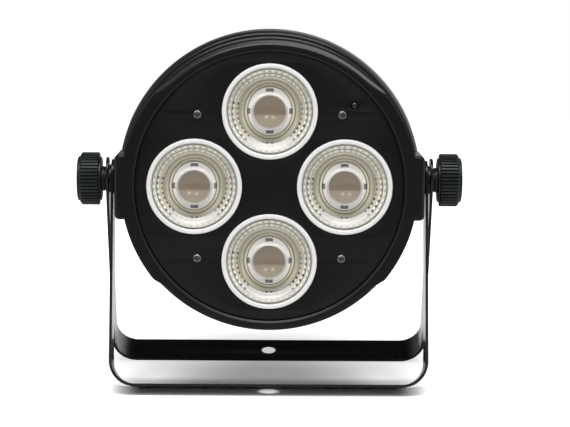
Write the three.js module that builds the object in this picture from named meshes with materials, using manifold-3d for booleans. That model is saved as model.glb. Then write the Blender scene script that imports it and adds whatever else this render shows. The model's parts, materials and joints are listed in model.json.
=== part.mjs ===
// Flat round LED wash light that stands on a pair of strip brackets.
// Millimetres, +Z up. The light shines towards -Y.
// The origin lies on the floor, midway between the feet of the two brackets.
import * as THREE from 'three';
import { mergeVertices } from 'three/addons/utils/BufferGeometryUtils.js';
import Module from 'manifold-3d';

const wasm = await Module();
wasm.setup();

// General clearances
const SEAT = 0.3; // gap between pieces that rest on each other
const OVERRUN = 2; // how far a cut runs past the face that it opens
const THREAD_ROOM = 0.3; // radial room around every stud and screw

// Attitude
const HEAD_TILT = 4.95; // degrees that the light faces upwards
const HEAD_DROP = 1.6; // middle of the head below the pivot axis
const FRONT_LEAN = 16.62; // degrees that the front bracket leans forward

// Strip brackets
const STRIP_WIDTH = 24.5;
const STRIP_THICKNESS = 2;
const BEND_RADIUS = 18;
const FRONT_REACH = 147.2; // pivot to the outer face of the front bracket's bar
const NEST_ROOM = 0.8; // room between the bars when the brackets are folded together
const DRAW_IN = 0.2; // how far each leg leans inwards on its way down
const STRAIGHT_BELOW_PIVOT = 15;
const FRONT_EAR_RISE = 1.6; // centre of the rounded ear above the pivot hole
const REAR_EAR_RISE = 3.6;
const FRONT_BAR_HOLE = 6.75; // radius
const REAR_BAR_HOLE = 5.25;

// Front housing
const FACE_AHEAD = 43.5; // bezel face in front of the pivot axis
const FRONT_DEPTH = 30.5; // bezel face to the rear edge of the front housing
const FRONT_RADIUS = 103;
const FACE_EDGE = 1; // chamfer round the face
const RIM_WIDTH = 2.4; // full ring that closes the front housing
const CUTBACK_FRONT = 5; // how far the top and bottom are cut back at the face
const CUTBACK_REAR = 1.2; // and where they meet the ring
const CUTBACK_START = 41; // degrees from the horizontal where the cutback begins
const CUTBACK_END = 50;
const BEZEL_WIDTH = 9.5; // inner edge of the bezel to the outside of the housing
const LIP_CHAMFER = 0.8;
const LEDGE_WIDTH = 4.5;
const LEDGE_DEPTH = 2.7;
const WALL = 2.5;
const WALL_RUNOUT = 11; // slope between the ledge and the plain wall
const RIM_WALL = 4.5;

// Pivot pads
const PAD_PROUD = 4.5; // pad's outer face outside the housing's radius
const PAD_HEIGHT = 44;
const PAD_THICKNESS = 8.9;
const PAD_BEHIND_PIVOT = 14;
const PAD_EDGE = 3.6; // rounding of the outer edges
const PAD_CORNER = 3; // corner radius seen from the side

// Front panel
const PANEL_RECESS = 3;
const PANEL_THICKNESS = 2.5;
const SCREW_INSET = 22.79; // from the bezel's inner edge, measured on the diagonal
const SENSOR_INSET = 12.3;
const SENSOR_ANGLE = 44.1; // degrees above the horizontal
const SENSOR_RADIUS = 2.5;
const SENSOR_FLANGE_RADIUS = 3.6;
const SENSOR_LENGTH = 4;

// Lenses and their holders
const LENS_MARGIN = 8.27; // between a holder and the bezel
const LENS_GAP = 7.52; // between neighbouring holders
const HOLDER_RIM = 3.6; // width of the white rim
const HOLDER_PROUD = 0.8; // rim in front of the panel
const HOLDER_TAPER = 6; // narrower at the foot by this much
const HOLDER_WALL = 1.6;
const HOLDER_STRAIGHT = 5.3;
const LENS_SETBACK = 0.4; // lens face behind the rim
const LENS_FLANGE = 2;
const LENS_FLANGE_STEP = 1;
const LENS_DOME_RADIUS = 11.8; // round crown in the middle of the face
const LENS_DOME_HEIGHT = 0.8;
const LENS_POCKET_RADIUS = 9; // over the emitter
const LENS_POCKET_DEPTH = 4;
const LENS_POCKET_CROWN = 2.2;

// Emitter modules and their board
const BOARD_THICKNESS = 1.6;
const LIGHT_BOARD_INSET = 5.4; // from the edge of the heat sink
const EMITTER_SIDE = 17;
const EMITTER_THICKNESS = 1.2;
const EMITTER_DOME_RADIUS = 7;
const EMITTER_DOME_HEIGHT = 0.7;

// Heat sink
const SINK_THICKNESS = 4;
const SINK_INSET = 3; // front of the base ahead of the seam between the housings
const FIN_THICKNESS = 2.2;
const FIN_PITCH = 14;
const FIN_HEIGHT = 16;
const FIN_INSET = 5.4; // between the fins and the edge of the base
const PANEL_POST_RADIUS = 4;
const BOARD_POST_RADIUS = 3;
const BOARD_POST_LENGTH = 24;

// Rear housing
const SPIGOT_LENGTH = 5.3;
const SPIGOT_WALL = 2.5;
const SEAM_STEP = 2; // depth of the dark seam between the two rings
const SEAM_WIDTH = 8.5;
const BAND_STEP = 2.8; // front of the band outside the front housing
const BAND_CHAMFER = 0.8;
const BAND_GROWTH = 2.2;
const BAND_WIDTH = 17.5;
const BAND_ROUND = 1.7;
const SHOULDER_DROP = 9; // from the widest part of the band
const SHOULDER_DEPTH = 18;
const BACK_DROP = 8; // from the shoulder to the back edge
const BACK_CHAMFER = 3;
const BACK_SLOPE_DEPTH = 12;
const SINK_LEDGE_WIDTH = 3.2;
const SINK_LEDGE_DEPTH = 2.2;
const VENT_WIDTH = 4.5;
const VENT_LENGTH = 13;
const VENTS_PER_SIDE = 7; // along the top and again along the bottom
const VENT_PITCH = 13; // degrees
const NOTCH_BACKING = 3.8; // wall behind each pad's notch

// Back panel
const BACK_EDGE_WIDTH = 7; // flat edge round the back panel
const BACK_PANEL_THICKNESS = 2;
const BACK_PANEL_RECESS = 0.5;
const BACK_LEDGE_WIDTH = 9;
const BACK_LEDGE_DEPTH = 2.7;
const BACK_SCREW_INSET = 4.5; // from the panel's edge
const GRILLE_SLOT_LENGTH = 22;
const GRILLE_SLOT_WIDTH = 3;
const GRILLE_PITCH = 7;
const GRILLE_SLOTS = 5;
const GRILLE_INSET = 27; // outer ends of the slots from the panel's edge
const GRILLE_Z = 29;

// Small screws
const SCREW_RADIUS = 1.5;
const SCREW_HEAD_RADIUS = 3;
const SCREW_HEAD_HEIGHT = 1.6;
const PANEL_SCREW_LENGTH = 9;
const BACK_SCREW_LENGTH = 4.5;
const RECESS_WIDTH = 0.9;
const RECESS_SPAN = 3.4;
const RECESS_DEPTH = 0.9;

// Controls and display
const DISPLAY_WIDTH = 44;
const DISPLAY_HEIGHT = 16;
const DISPLAY_RISE = 16; // above the row of buttons
const DISPLAY_LIP = 1.5;
const DISPLAY_THICKNESS = 1.2;
const CONTROL_BOARD_WIDTH = 84;
const CONTROL_BOARD_HEIGHT = 40;
const CONTROL_BOARD_GAP = 8; // board behind the back panel
const CONTROL_POST_RADIUS = 2.5;
const BUTTON_RADIUS = 4;
const BUTTON_FLANGE = 1;
const BUTTON_FLANGE_THICKNESS = 1;
const BUTTON_PROUD = 1.8;
const BUTTON_TRAVEL = 0.8;
const BUTTON_PITCH = 18;
const BUTTON_RISE = 7.5; // above the data sockets
const SWITCH_SIDE = 6;

// Three-pin data sockets
const DATA_X = 26;
const DATA_RISE = 4.5; // above the mains sockets
const DATA_FLANGE_WIDTH = 26;
const DATA_FLANGE_HEIGHT = 31;
const SOCKET_FLANGE_THICKNESS = 1.6;
const DATA_BODY_RADIUS = 11.6;
const DATA_BODY_DEPTH = 18;
const DATA_BORE_RADIUS = 9.5;
const DATA_BORE_DEPTH = 14;
const DATA_INSERT_RECESS = 5;
const DATA_PIN_RADIUS = 1.3;
const DATA_PIN_ORBIT = 4.6;
const LATCH_WIDTH = 7;
const LATCH_HEIGHT = 4;
const LATCH_PROUD = 1.2;

// Mains sockets
const MAINS_X = 17;
const MAINS_INSET = 10; // lower corners from the panel's edge
const MAINS_FLANGE_WIDTH = 30;
const MAINS_FLANGE_HEIGHT = 22;
const MAINS_BODY_WIDTH = 26;
const MAINS_BODY_HEIGHT = 18;
const MAINS_BODY_DEPTH = 20;
const MAINS_MOUTH_WIDTH = 23;
const MAINS_MOUTH_HEIGHT = 15;
const MAINS_MOUTH_DEPTH = 15;
const MAINS_PIN_WIDTH = 2;
const MAINS_PIN_HEIGHT = 4;
const MAINS_PIN_PITCH = 7;
const MAINS_PIN_LENGTH = 10;
const OUTLET_RECESS = 4;

// Fuse holder
const FUSE_X = 0;
const FUSE_RADIUS = 6.2;
const FUSE_FLANGE_RADIUS = 8;
const FUSE_DEPTH = 18;
const FUSE_CAP_RADIUS = 5;
const FUSE_CAP_PROUD = 3;
const FUSE_CAP_LENGTH = 9;
const FUSE_SLOT_LENGTH = 7;
const FUSE_SLOT_WIDTH = 1;
const FUSE_SLOT_DEPTH = 1.5;

// Safety eye
const EYE_INSET = 14; // below the top of the panel
const EYE_SPACING = 18;
const EYE_WIRE_RADIUS = 2.2;
const EYE_STAND = 7; // straight part of the loop behind the panel
const EYE_INSIDE = 4; // length below the panel's inner face

// Boards
const SUPPLY_WIDTH = 100;
const SUPPLY_HEIGHT = 56;
const SUPPLY_Z = 26;
const DRIVER_WIDTH = 84;
const DRIVER_HEIGHT = 36;
const DRIVER_Z = -34;
const POST_INSET = 5; // board post from the board's corner
const TRANSFORMER = [34, 12, 28]; // width, depth, height
const TRANSFORMER_X = -18;
const CHOKE = [16, 10, 18];
const CHOKE_X = 14;
const CAPACITOR_RADIUS = 6;
const CAPACITOR_DEPTH = 12;
const CAPACITOR_X = 38;
const CAPACITOR_GAP = 16;
const CHIP = [12, 3, 12];
const CHIP_PITCH = 20;
const CHIP_COUNT = 4;

// Clamp at each pivot
const STUD_RADIUS = 4;
const STUD_CHAMFER = 0.8;
const STUD_IN_KNOB = 11;
const INSERT_RADIUS = 6;
const RUBBER_RADIUS = 10.5;
const RUBBER_THICKNESS = 1.8;
const SPACER_RADIUS = 10;
const SPACER_THICKNESS = 1;
const CAPTIVE_RADIUS = 8.6;
const CAPTIVE_THICKNESS = 0.8;
const NECK_RADIUS = 8.8;
const NECK_LENGTH = 2;
const KNOB_SHOULDER_RADIUS = 15.5;
const KNOB_SHOULDER_LENGTH = 0.8;
const KNOB_RADIUS = 18.7;
const KNOB_LENGTH = 15.4;
const KNOB_DISC_RADIUS = 15.8;
const KNOB_DISC_PROUD = 0.8;
const KNOB_CHAMFER = 1.4;
const RIB_COUNT = 40;
const RIB_DEPTH = 1;

// Fineness of round work, as numbers of steps
const ROUND_STEPS = 44;
const LENS_STEPS = 20;
const KNOB_STEPS = 20;
const SMALL_STEPS = 12;
const TINY_STEPS = 8;
const ARC_STEPS = 4;
const WIRE_STEPS = 4;
const PAD_EDGE_STEPS = 3;
const PAD_CORNER_STEPS = 1;
const EYE_ARC_STEPS = 8;
const EYE_LENGTH_STEPS = 18;

// Places worked out from the sizes above. In the head, depth is counted from the pivot axis.
const faceY = -FACE_AHEAD;
const frontEndY = faceY + FRONT_DEPTH;
const panelY = faceY + PANEL_RECESS;
const panelBackY = panelY + PANEL_THICKNESS;
const lipRadius = FRONT_RADIUS - BEZEL_WIDTH;
const panelRadius = lipRadius - SEAT;
const panelScrewOrbit = lipRadius - SCREW_INSET;
const sensorOrbit = lipRadius - SENSOR_INSET;
const sensorX = sensorOrbit * Math.cos(THREE.MathUtils.degToRad(SENSOR_ANGLE));
const sensorZ = sensorOrbit * Math.sin(THREE.MathUtils.degToRad(SENSOR_ANGLE));
// Four equal circles in a ring fill the panel between the margin and the gap.
const holderRadius = (lipRadius - LENS_MARGIN - LENS_GAP * Math.SQRT1_2) / (1 + Math.SQRT2);
const lensOrbit = (holderRadius * 2 + LENS_GAP) * Math.SQRT1_2;
const ledgeY = panelBackY + SEAT;
const sinkY = frontEndY - SINK_INSET;
const sinkBackY = sinkY + SINK_THICKNESS;
const lightBoardBackY = sinkY - SEAT;
const lightBoardY = lightBoardBackY - BOARD_THICKNESS;
const holderFootY = lightBoardY - SEAT;
const rimY = panelY - HOLDER_PROUD;
const lensFaceY = rimY + LENS_SETBACK;
const spigotY = frontEndY - SPIGOT_LENGTH + SEAT;
const spigotOutside = FRONT_RADIUS - RIM_WALL - SEAT;
const spigotInside = spigotOutside - SPIGOT_WALL;
const sinkRadius = spigotInside - SEAT;
const seamFrontY = frontEndY + SEAT;
const bandY = seamFrontY + SEAM_WIDTH;
const bandBackY = bandY + BAND_WIDTH;
const seamRadius = FRONT_RADIUS - SEAM_STEP;
const bandRadius = FRONT_RADIUS + BAND_STEP;
const bandBackRadius = bandRadius + BAND_GROWTH;
const shoulderRadius = bandBackRadius - SHOULDER_DROP;
const backRadius = shoulderRadius - BACK_DROP;
const backPanelRadius = backRadius - BACK_EDGE_WIDTH;
const shoulderY = bandBackY + BAND_ROUND + SHOULDER_DEPTH;
const backY = shoulderY + BACK_SLOPE_DEPTH;
const backPanelY = backY - BACK_PANEL_RECESS; // outer face of the back panel
const backPanelInnerY = backPanelY - BACK_PANEL_THICKNESS;
const backLedgeY = backPanelInnerY - SEAT;
const controlBoardBackY = backPanelInnerY - CONTROL_BOARD_GAP;
const controlBoardY = controlBoardBackY - BOARD_THICKNESS;
const socketFlangeY = backPanelY + SEAT;
const socketMouthY = socketFlangeY + SOCKET_FLANGE_THICKNESS;
const boardY = sinkBackY + BOARD_POST_LENGTH + SEAT; // front of the supply and driver boards
const boardBackY = boardY + BOARD_THICKNESS;

// Heights of the rows on the back panel, from the lowest corners upwards.
const mainsCornerX = MAINS_X + MAINS_FLANGE_WIDTH / 2;
const mainsFootZ = -Math.sqrt((backPanelRadius - MAINS_INSET) ** 2 - mainsCornerX ** 2);
const mainsZ = mainsFootZ + MAINS_FLANGE_HEIGHT / 2;
const dataZ = mainsFootZ + MAINS_FLANGE_HEIGHT + DATA_RISE + DATA_FLANGE_HEIGHT / 2;
const buttonZ = dataZ + DATA_FLANGE_HEIGHT / 2 + BUTTON_RISE + BUTTON_RADIUS;
const displayZ = buttonZ + DISPLAY_RISE;
const controlBoardZ = (displayZ + buttonZ) / 2;
const eyeZ = backPanelRadius - EYE_INSET;
const grilleX = backPanelRadius - GRILLE_INSET - GRILLE_SLOT_LENGTH / 2;

const padOuterX = FRONT_RADIUS + PAD_PROUD;
const rubberX = padOuterX + SEAT;
const frontStripX = rubberX + RUBBER_THICKNESS + SEAT; // inner face of the front bracket's leg
const spacerX = frontStripX + STRIP_THICKNESS + SEAT;
const rearStripX = spacerX + SPACER_THICKNESS + SEAT;
const captiveX = rearStripX + STRIP_THICKNESS + SEAT;
const knobX = captiveX + CAPTIVE_THICKNESS + SEAT;
const padInnerX = padOuterX - PAD_THICKNESS;
const insertX = padInnerX + SEAT;
const studHoleRadius = STUD_RADIUS + THREAD_ROOM;
const screwHoleRadius = SCREW_RADIUS + THREAD_ROOM;

const rearReach = FRONT_REACH + NEST_ROOM + STRIP_THICKNESS;
const frontLean = THREE.MathUtils.degToRad(FRONT_LEAN);
const halfStrip = STRIP_WIDTH / 2;
const pivotHeight = FRONT_REACH * Math.cos(frontLean) + halfStrip * Math.sin(frontLean);
const rearLean = Math.atan(halfStrip / rearReach)
  + Math.acos(pivotHeight / Math.hypot(rearReach, halfStrip));
const frontFootY = FRONT_REACH * Math.sin(frontLean) + halfStrip * Math.cos(frontLean);
const rearFootY = rearReach * Math.sin(rearLean) + halfStrip * Math.cos(rearLean);
const pivotY = (frontFootY - rearFootY) / 2;

// Finishes
function finish(colour, roughness, metalness) {
  return new THREE.MeshStandardMaterial({ color: colour, roughness, metalness });
}
const blackPaint = finish(0x0b0c0d, 0.5, 0.1);
const blackPlastic = finish(0x0d1012, 0.55, 0);
const stripPaint = finish(0x0a0a0b, 0.4, 0.2);
const rubber = finish(0x101010, 0.85, 0);
const steel = finish(0xb5b8bb, 0.35, 1);
const darkSteel = finish(0x3a3c3e, 0.4, 0.9);
const brass = finish(0xb8923f, 0.35, 1);
const aluminium = finish(0xa9acae, 0.45, 0.9);
const whitePlastic = finish(0xf4f2ee, 0.45, 0);
const lensPlastic = finish(0xcfcac0, 0.12, 0);
const phosphor = finish(0x9d9286, 0.6, 0);
const boardGreen = finish(0x14532d, 0.5, 0);
const darkWindow = finish(0x08090a, 0.15, 0);

// Make a geometry one closed surface that faces outwards.
function closed(geometry) {
  const bare = geometry.index ? geometry.toNonIndexed() : geometry.clone();
  bare.deleteAttribute('normal');
  bare.deleteAttribute('uv');
  const merged = mergeVertices(bare);
  const position = merged.attributes.position;
  const index = merged.index.array;
  const corners = [new THREE.Vector3(), new THREE.Vector3(), new THREE.Vector3()];
  const kept = [];
  let volume = 0;
  for (let i = 0; i < index.length; i += 3) {
    const [a, b, c] = [index[i], index[i + 1], index[i + 2]];
    if (a === b || b === c || c === a) continue;
    kept.push(a, b, c);
    [a, b, c].forEach((vertex, k) => corners[k].fromBufferAttribute(position, vertex));
    volume += corners[0].dot(corners[1].clone().cross(corners[2]));
  }
  if (volume < 0) {
    for (let i = 0; i < kept.length; i += 3) {
      [kept[i + 1], kept[i + 2]] = [kept[i + 2], kept[i + 1]];
    }
  }
  merged.setIndex(kept);
  return merged;
}

function solidOf(geometry) {
  const surface = closed(geometry);
  return new wasm.Manifold(new wasm.Mesh({
    numProp: 3,
    vertProperties: new Float32Array(surface.attributes.position.array),
    triVerts: new Uint32Array(surface.index.array),
  }));
}

function geometryOf(solid) {
  const mesh = solid.getMesh();
  const geometry = new THREE.BufferGeometry();
  geometry.setAttribute('position', new THREE.BufferAttribute(mesh.vertProperties, 3));
  geometry.setIndex(new THREE.BufferAttribute(mesh.triVerts, 1));
  return geometry;
}

function join(first, ...others) {
  return geometryOf(others.reduce((solid, other) => solid.add(solidOf(other)), solidOf(first)));
}

function cut(first, ...tools) {
  return geometryOf(tools.reduce((solid, tool) => solid.subtract(solidOf(tool)), solidOf(first)));
}

function common(first, second) {
  return geometryOf(solidOf(first).intersect(solidOf(second)));
}

// Turned about the Y axis from a closed outline of [radius, depth] points.
function turned(outline, steps) {
  const points = outline.map(([radius, depth]) => new THREE.Vector2(radius, depth));
  const onAxis = outline[0][0] === 0;
  if (!onAxis) points.push(points[0].clone());
  return new THREE.LatheGeometry(points, steps);
}

function block([x0, x1], [y0, y1], [z0, z1]) {
  const geometry = new THREE.BoxGeometry(x1 - x0, y1 - y0, z1 - z0);
  return geometry.translate((x0 + x1) / 2, (y0 + y1) / 2, (z0 + z1) / 2);
}

function centred(middle, length) {
  return [middle - length / 2, middle + length / 2];
}

// Places of a row of pieces, evenly spaced about zero.
function row(count, pitch) {
  return Array.from({ length: count }, (unused, i) => (i - (count - 1) / 2) * pitch);
}

// Round bar along one axis, from one place to another, standing at the other two coordinates.
function rod(axis, radius, [from, to], [u, v], steps) {
  const geometry = new THREE.CylinderGeometry(radius, radius, to - from, steps);
  const middle = (from + to) / 2;
  if (axis === 'x') return geometry.rotateZ(Math.PI / 2).translate(middle, u, v);
  if (axis === 'z') return geometry.rotateX(Math.PI / 2).translate(u, v, middle);
  return geometry.translate(u, middle, v);
}

// Flat shape pushed along X: the shape's own axes become Y and Z.
function pushedAlongX(shape, [from, to], options) {
  const settings = { depth: to - from, bevelEnabled: false, curveSegments: ARC_STEPS, ...options };
  const geometry = new THREE.ExtrudeGeometry(shape, settings);
  const turn = new THREE.Matrix4().makeBasis(
    new THREE.Vector3(0, 1, 0), new THREE.Vector3(0, 0, 1), new THREE.Vector3(1, 0, 0));
  return geometry.applyMatrix4(turn).translate(from, 0, 0);
}

// Flat shape in the X and Z directions, centred across the strip's width along Y.
function stripOf(shape, width) {
  const settings = { depth: width, bevelEnabled: false, curveSegments: ARC_STEPS };
  return new THREE.ExtrudeGeometry(shape, settings).rotateX(Math.PI / 2).translate(0, width / 2, 0);
}

function roundedRectangle([u0, u1], [v0, v1], radius) {
  const shape = new THREE.Shape();
  shape.moveTo(u0 + radius, v0);
  shape.lineTo(u1 - radius, v0);
  shape.absarc(u1 - radius, v0 + radius, radius, -Math.PI / 2, 0);
  shape.lineTo(u1, v1 - radius);
  shape.absarc(u1 - radius, v1 - radius, radius, 0, Math.PI / 2);
  shape.lineTo(u0 + radius, v1);
  shape.absarc(u0 + radius, v1 - radius, radius, Math.PI / 2, Math.PI);
  shape.lineTo(u0, v0 + radius);
  shape.absarc(u0 + radius, v0 + radius, radius, Math.PI, Math.PI * 1.5);
  return shape;
}

// A bracket hangs straight down from the pivot here. It is leaned over when it is placed.
function bracket(reach, innerX, earRise, holeRadius) {
  const outerX = innerX + STRIP_THICKNESS;
  const footX = outerX - DRAW_IN;
  const arcX = footX - BEND_RADIUS;
  const arcZ = -(reach - BEND_RADIUS);
  const topZ = earRise + halfStrip + OVERRUN;
  const innerRadius = BEND_RADIUS - STRIP_THICKNESS;
  const outline = new THREE.Shape();
  outline.moveTo(outerX, topZ);
  outline.lineTo(innerX, topZ);
  outline.lineTo(innerX, -STRAIGHT_BELOW_PIVOT);
  outline.absarc(arcX, arcZ, innerRadius, 0, -Math.PI / 2, true);
  outline.absarc(-arcX, arcZ, innerRadius, -Math.PI / 2, -Math.PI, true);
  outline.lineTo(-innerX, -STRAIGHT_BELOW_PIVOT);
  outline.lineTo(-innerX, topZ);
  outline.lineTo(-outerX, topZ);
  outline.lineTo(-outerX, -STRAIGHT_BELOW_PIVOT);
  outline.absarc(-arcX, arcZ, BEND_RADIUS, Math.PI, Math.PI * 1.5);
  outline.absarc(arcX, arcZ, BEND_RADIUS, Math.PI * 1.5, Math.PI * 2);
  outline.lineTo(outerX, -STRAIGHT_BELOW_PIVOT);

  const side = new THREE.Shape();
  side.moveTo(-halfStrip, -reach - OVERRUN);
  side.lineTo(halfStrip, -reach - OVERRUN);
  side.lineTo(halfStrip, earRise);
  side.absarc(0, earRise, halfStrip, 0, Math.PI);
  const across = [-outerX - OVERRUN, outerX + OVERRUN];

  const strip = common(stripOf(outline, STRIP_WIDTH + OVERRUN), pushedAlongX(side, across));
  const pivotHole = rod('x', studHoleRadius, across, [0, 0], SMALL_STEPS);
  const barSpan = [-reach - OVERRUN, -reach + STRIP_THICKNESS + OVERRUN];
  return cut(strip, pivotHole, rod('z', holeRadius, barSpan, [0, 0], SMALL_STEPS));
}

// How far the cutback has come in at an angle from the horizontal, from 0 to 1.
function cutbackShare(angle) {
  const fromHorizontal = Math.abs(Math.asin(Math.sin(angle)));
  const degrees = THREE.MathUtils.radToDeg(fromHorizontal);
  return THREE.MathUtils.smoothstep(degrees, CUTBACK_START, CUTBACK_END);
}

// Angles once round, with extra steps where the cutback comes in.
function housingAngles() {
  const stops = [0, CUTBACK_START, CUTBACK_END, 90];
  const stepsBetween = [5, 4, 5];
  const quarter = [];
  stepsBetween.forEach((count, part) => {
    for (let i = 0; i < count; i++) {
      quarter.push(THREE.MathUtils.lerp(stops[part], stops[part + 1], i / count));
    }
  });
  const mirrored = [90, ...quarter.slice(1).reverse()].map((degrees) => 180 - degrees);
  const upper = [...quarter, ...mirrored];
  const lower = upper.map((degrees) => degrees + 180);
  return [...upper, ...lower].map((degrees) => THREE.MathUtils.degToRad(degrees));
}

// Closed ring whose section changes with the angle round the Y axis.
function ringOfSections(angles, sectionAt) {
  const sections = angles.map(sectionAt);
  const count = sections[0].length;
  const positions = [];
  sections.forEach((section, i) => section.forEach(([radius, depth]) => {
    positions.push(radius * Math.cos(angles[i]), depth, radius * Math.sin(angles[i]));
  }));
  const index = [];
  for (let i = 0; i < angles.length; i++) {
    for (let j = 0; j < count; j++) {
      const a = i * count + j;
      const b = i * count + (j + 1) % count;
      const c = ((i + 1) % angles.length) * count + j;
      const d = ((i + 1) % angles.length) * count + (j + 1) % count;
      index.push(a, b, d, a, d, c);
    }
  }
  const geometry = new THREE.BufferGeometry();
  geometry.setAttribute('position', new THREE.Float32BufferAttribute(positions, 3));
  geometry.setIndex(index);
  return geometry;
}

function frontSection(angle) {
  const share = cutbackShare(angle);
  const atFace = FRONT_RADIUS - CUTBACK_FRONT * share;
  const atRim = FRONT_RADIUS - CUTBACK_REAR * share;
  const edgeY = faceY + FACE_EDGE;
  const rimStartY = frontEndY - RIM_WIDTH;
  const outsideAt = (depth) => THREE.MathUtils.mapLinear(depth, edgeY, rimStartY, atFace, atRim);
  const ledgeBackY = ledgeY + LEDGE_DEPTH;
  const seatRadius = spigotOutside + SEAT;
  const runoutY = ledgeBackY + WALL_RUNOUT;
  return [
    [lipRadius + LIP_CHAMFER, faceY],
    [atFace - FACE_EDGE, faceY],
    [atFace, edgeY],
    [atRim, rimStartY],
    [FRONT_RADIUS, rimStartY],
    [FRONT_RADIUS, frontEndY],
    [seatRadius, frontEndY],
    [seatRadius, spigotY - SEAT],
    [outsideAt(runoutY) - WALL, runoutY],
    [outsideAt(ledgeBackY) - WALL, ledgeBackY],
    [lipRadius - LEDGE_WIDTH, ledgeBackY],
    [lipRadius - LEDGE_WIDTH, ledgeY],
    [lipRadius, ledgeY],
    [lipRadius, faceY + LIP_CHAMFER],
  ];
}

// Rounded block on the right-hand side of the housing that carries the pivot.
function pivotPad() {
  const depth = [faceY + PAD_EDGE, PAD_BEHIND_PIVOT - PAD_EDGE];
  const height = centred(0, PAD_HEIGHT - PAD_EDGE * 2);
  const shape = roundedRectangle(depth, height, PAD_CORNER);
  const span = [padInnerX - PAD_EDGE, padOuterX - PAD_EDGE];
  const pad = pushedAlongX(shape, span, {
    bevelEnabled: true,
    bevelThickness: PAD_EDGE,
    bevelSize: PAD_EDGE,
    bevelSegments: PAD_EDGE_STEPS,
    curveSegments: PAD_CORNER_STEPS,
  });
  const behind = block([0, padInnerX], [faceY - OVERRUN, PAD_BEHIND_PIVOT + OVERRUN],
    centred(0, PAD_HEIGHT + OVERRUN));
  const bore = rod('x', INSERT_RADIUS + SEAT, [padInnerX - OVERRUN, padOuterX + OVERRUN],
    [0, HEAD_DROP], SMALL_STEPS);
  return cut(pad, behind, bore);
}

function mirroredX(geometry) {
  return closed(geometry.clone().scale(-1, 1, 1));
}

function frontHousing() {
  const pad = pivotPad();
  return join(ringOfSections(housingAngles(), frontSection), pad, mirroredX(pad));
}

function frontPanel() {
  const across = [panelY - OVERRUN, panelBackY + OVERRUN];
  const plate = rod('y', panelRadius, [panelY, panelBackY], [0, 0], ROUND_STEPS);
  const lensHoles = lensPlaces().map((place) => rod('y', holderRadius + SEAT, across, place, LENS_STEPS));
  const screwHoles = panelScrewPlaces().map((place) => rod('y', screwHoleRadius, across, place, TINY_STEPS));
  const sensorHole = rod('y', SENSOR_RADIUS + SEAT, across, [sensorX, sensorZ], TINY_STEPS);
  return cut(plate, ...lensHoles, ...screwHoles, sensorHole);
}

function lensPlaces() {
  return [[0, lensOrbit], [lensOrbit, 0], [0, -lensOrbit], [-lensOrbit, 0]];
}

function panelScrewPlaces() {
  const half = panelScrewOrbit * Math.SQRT1_2;
  return [[half, half], [half, -half], [-half, -half], [-half, half]];
}

function backScrewPlaces() {
  const reach = (backPanelRadius - BACK_SCREW_INSET) * Math.SQRT1_2;
  return [[reach, reach], [reach, -reach], [-reach, -reach], [-reach, reach]];
}

function lensHolder() {
  const rimInside = holderRadius - HOLDER_RIM;
  const bodyY = rimY + HOLDER_STRAIGHT;
  const seatY = lensFaceY + LENS_FLANGE + SEAT;
  const boreRadius = rimInside - LENS_FLANGE_STEP;
  const footRadius = holderRadius - HOLDER_TAPER;
  return turned([
    [rimInside, rimY],
    [holderRadius, rimY],
    [holderRadius, bodyY],
    [footRadius, holderFootY],
    [footRadius - HOLDER_WALL, holderFootY],
    [boreRadius, bodyY],
    [boreRadius, seatY],
    [rimInside, seatY],
  ], LENS_STEPS);
}

function lens() {
  const outside = holderRadius - HOLDER_RIM - SEAT;
  const body = outside - LENS_FLANGE_STEP - SEAT;
  const footY = holderFootY - EMITTER_THICKNESS;
  const footRadius = holderRadius - HOLDER_TAPER - HOLDER_WALL - SEAT * 2;
  return turned([
    [0, lensFaceY],
    [LENS_DOME_RADIUS * Math.SQRT1_2, lensFaceY + LENS_DOME_HEIGHT / 2],
    [LENS_DOME_RADIUS, lensFaceY + LENS_DOME_HEIGHT],
    [LENS_DOME_RADIUS + LENS_DOME_HEIGHT, lensFaceY],
    [outside, lensFaceY],
    [outside, lensFaceY + LENS_FLANGE],
    [body, lensFaceY + LENS_FLANGE],
    [footRadius, footY],
    [LENS_POCKET_RADIUS, footY],
    [LENS_POCKET_RADIUS, footY - LENS_POCKET_DEPTH],
    [0, footY - LENS_POCKET_DEPTH - LENS_POCKET_CROWN],
  ], LENS_STEPS);
}

function emitter() {
  const baseY = holderFootY - EMITTER_THICKNESS;
  const half = centred(0, EMITTER_SIDE);
  const dome = rod('y', EMITTER_DOME_RADIUS, [baseY - EMITTER_DOME_HEIGHT, holderFootY], [0, 0], SMALL_STEPS);
  return join(block(half, [baseY, holderFootY], half), dome);
}

function lightBoard() {
  const across = [lightBoardY - OVERRUN, lightBoardBackY + OVERRUN];
  const radius = sinkRadius - LIGHT_BOARD_INSET;
  const disc = rod('y', radius, [lightBoardY, lightBoardBackY], [0, 0], LENS_STEPS * 2);
  const holes = panelScrewPlaces().map((place) =>
    rod('y', PANEL_POST_RADIUS + SEAT, across, place, TINY_STEPS));
  return cut(disc, ...holes);
}

function boardPostPlaces(width, height, z) {
  const x = width / 2 - POST_INSET;
  const rise = height / 2 - POST_INSET;
  return [[x, z + rise], [x, z - rise], [-x, z - rise], [-x, z + rise]];
}

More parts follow.
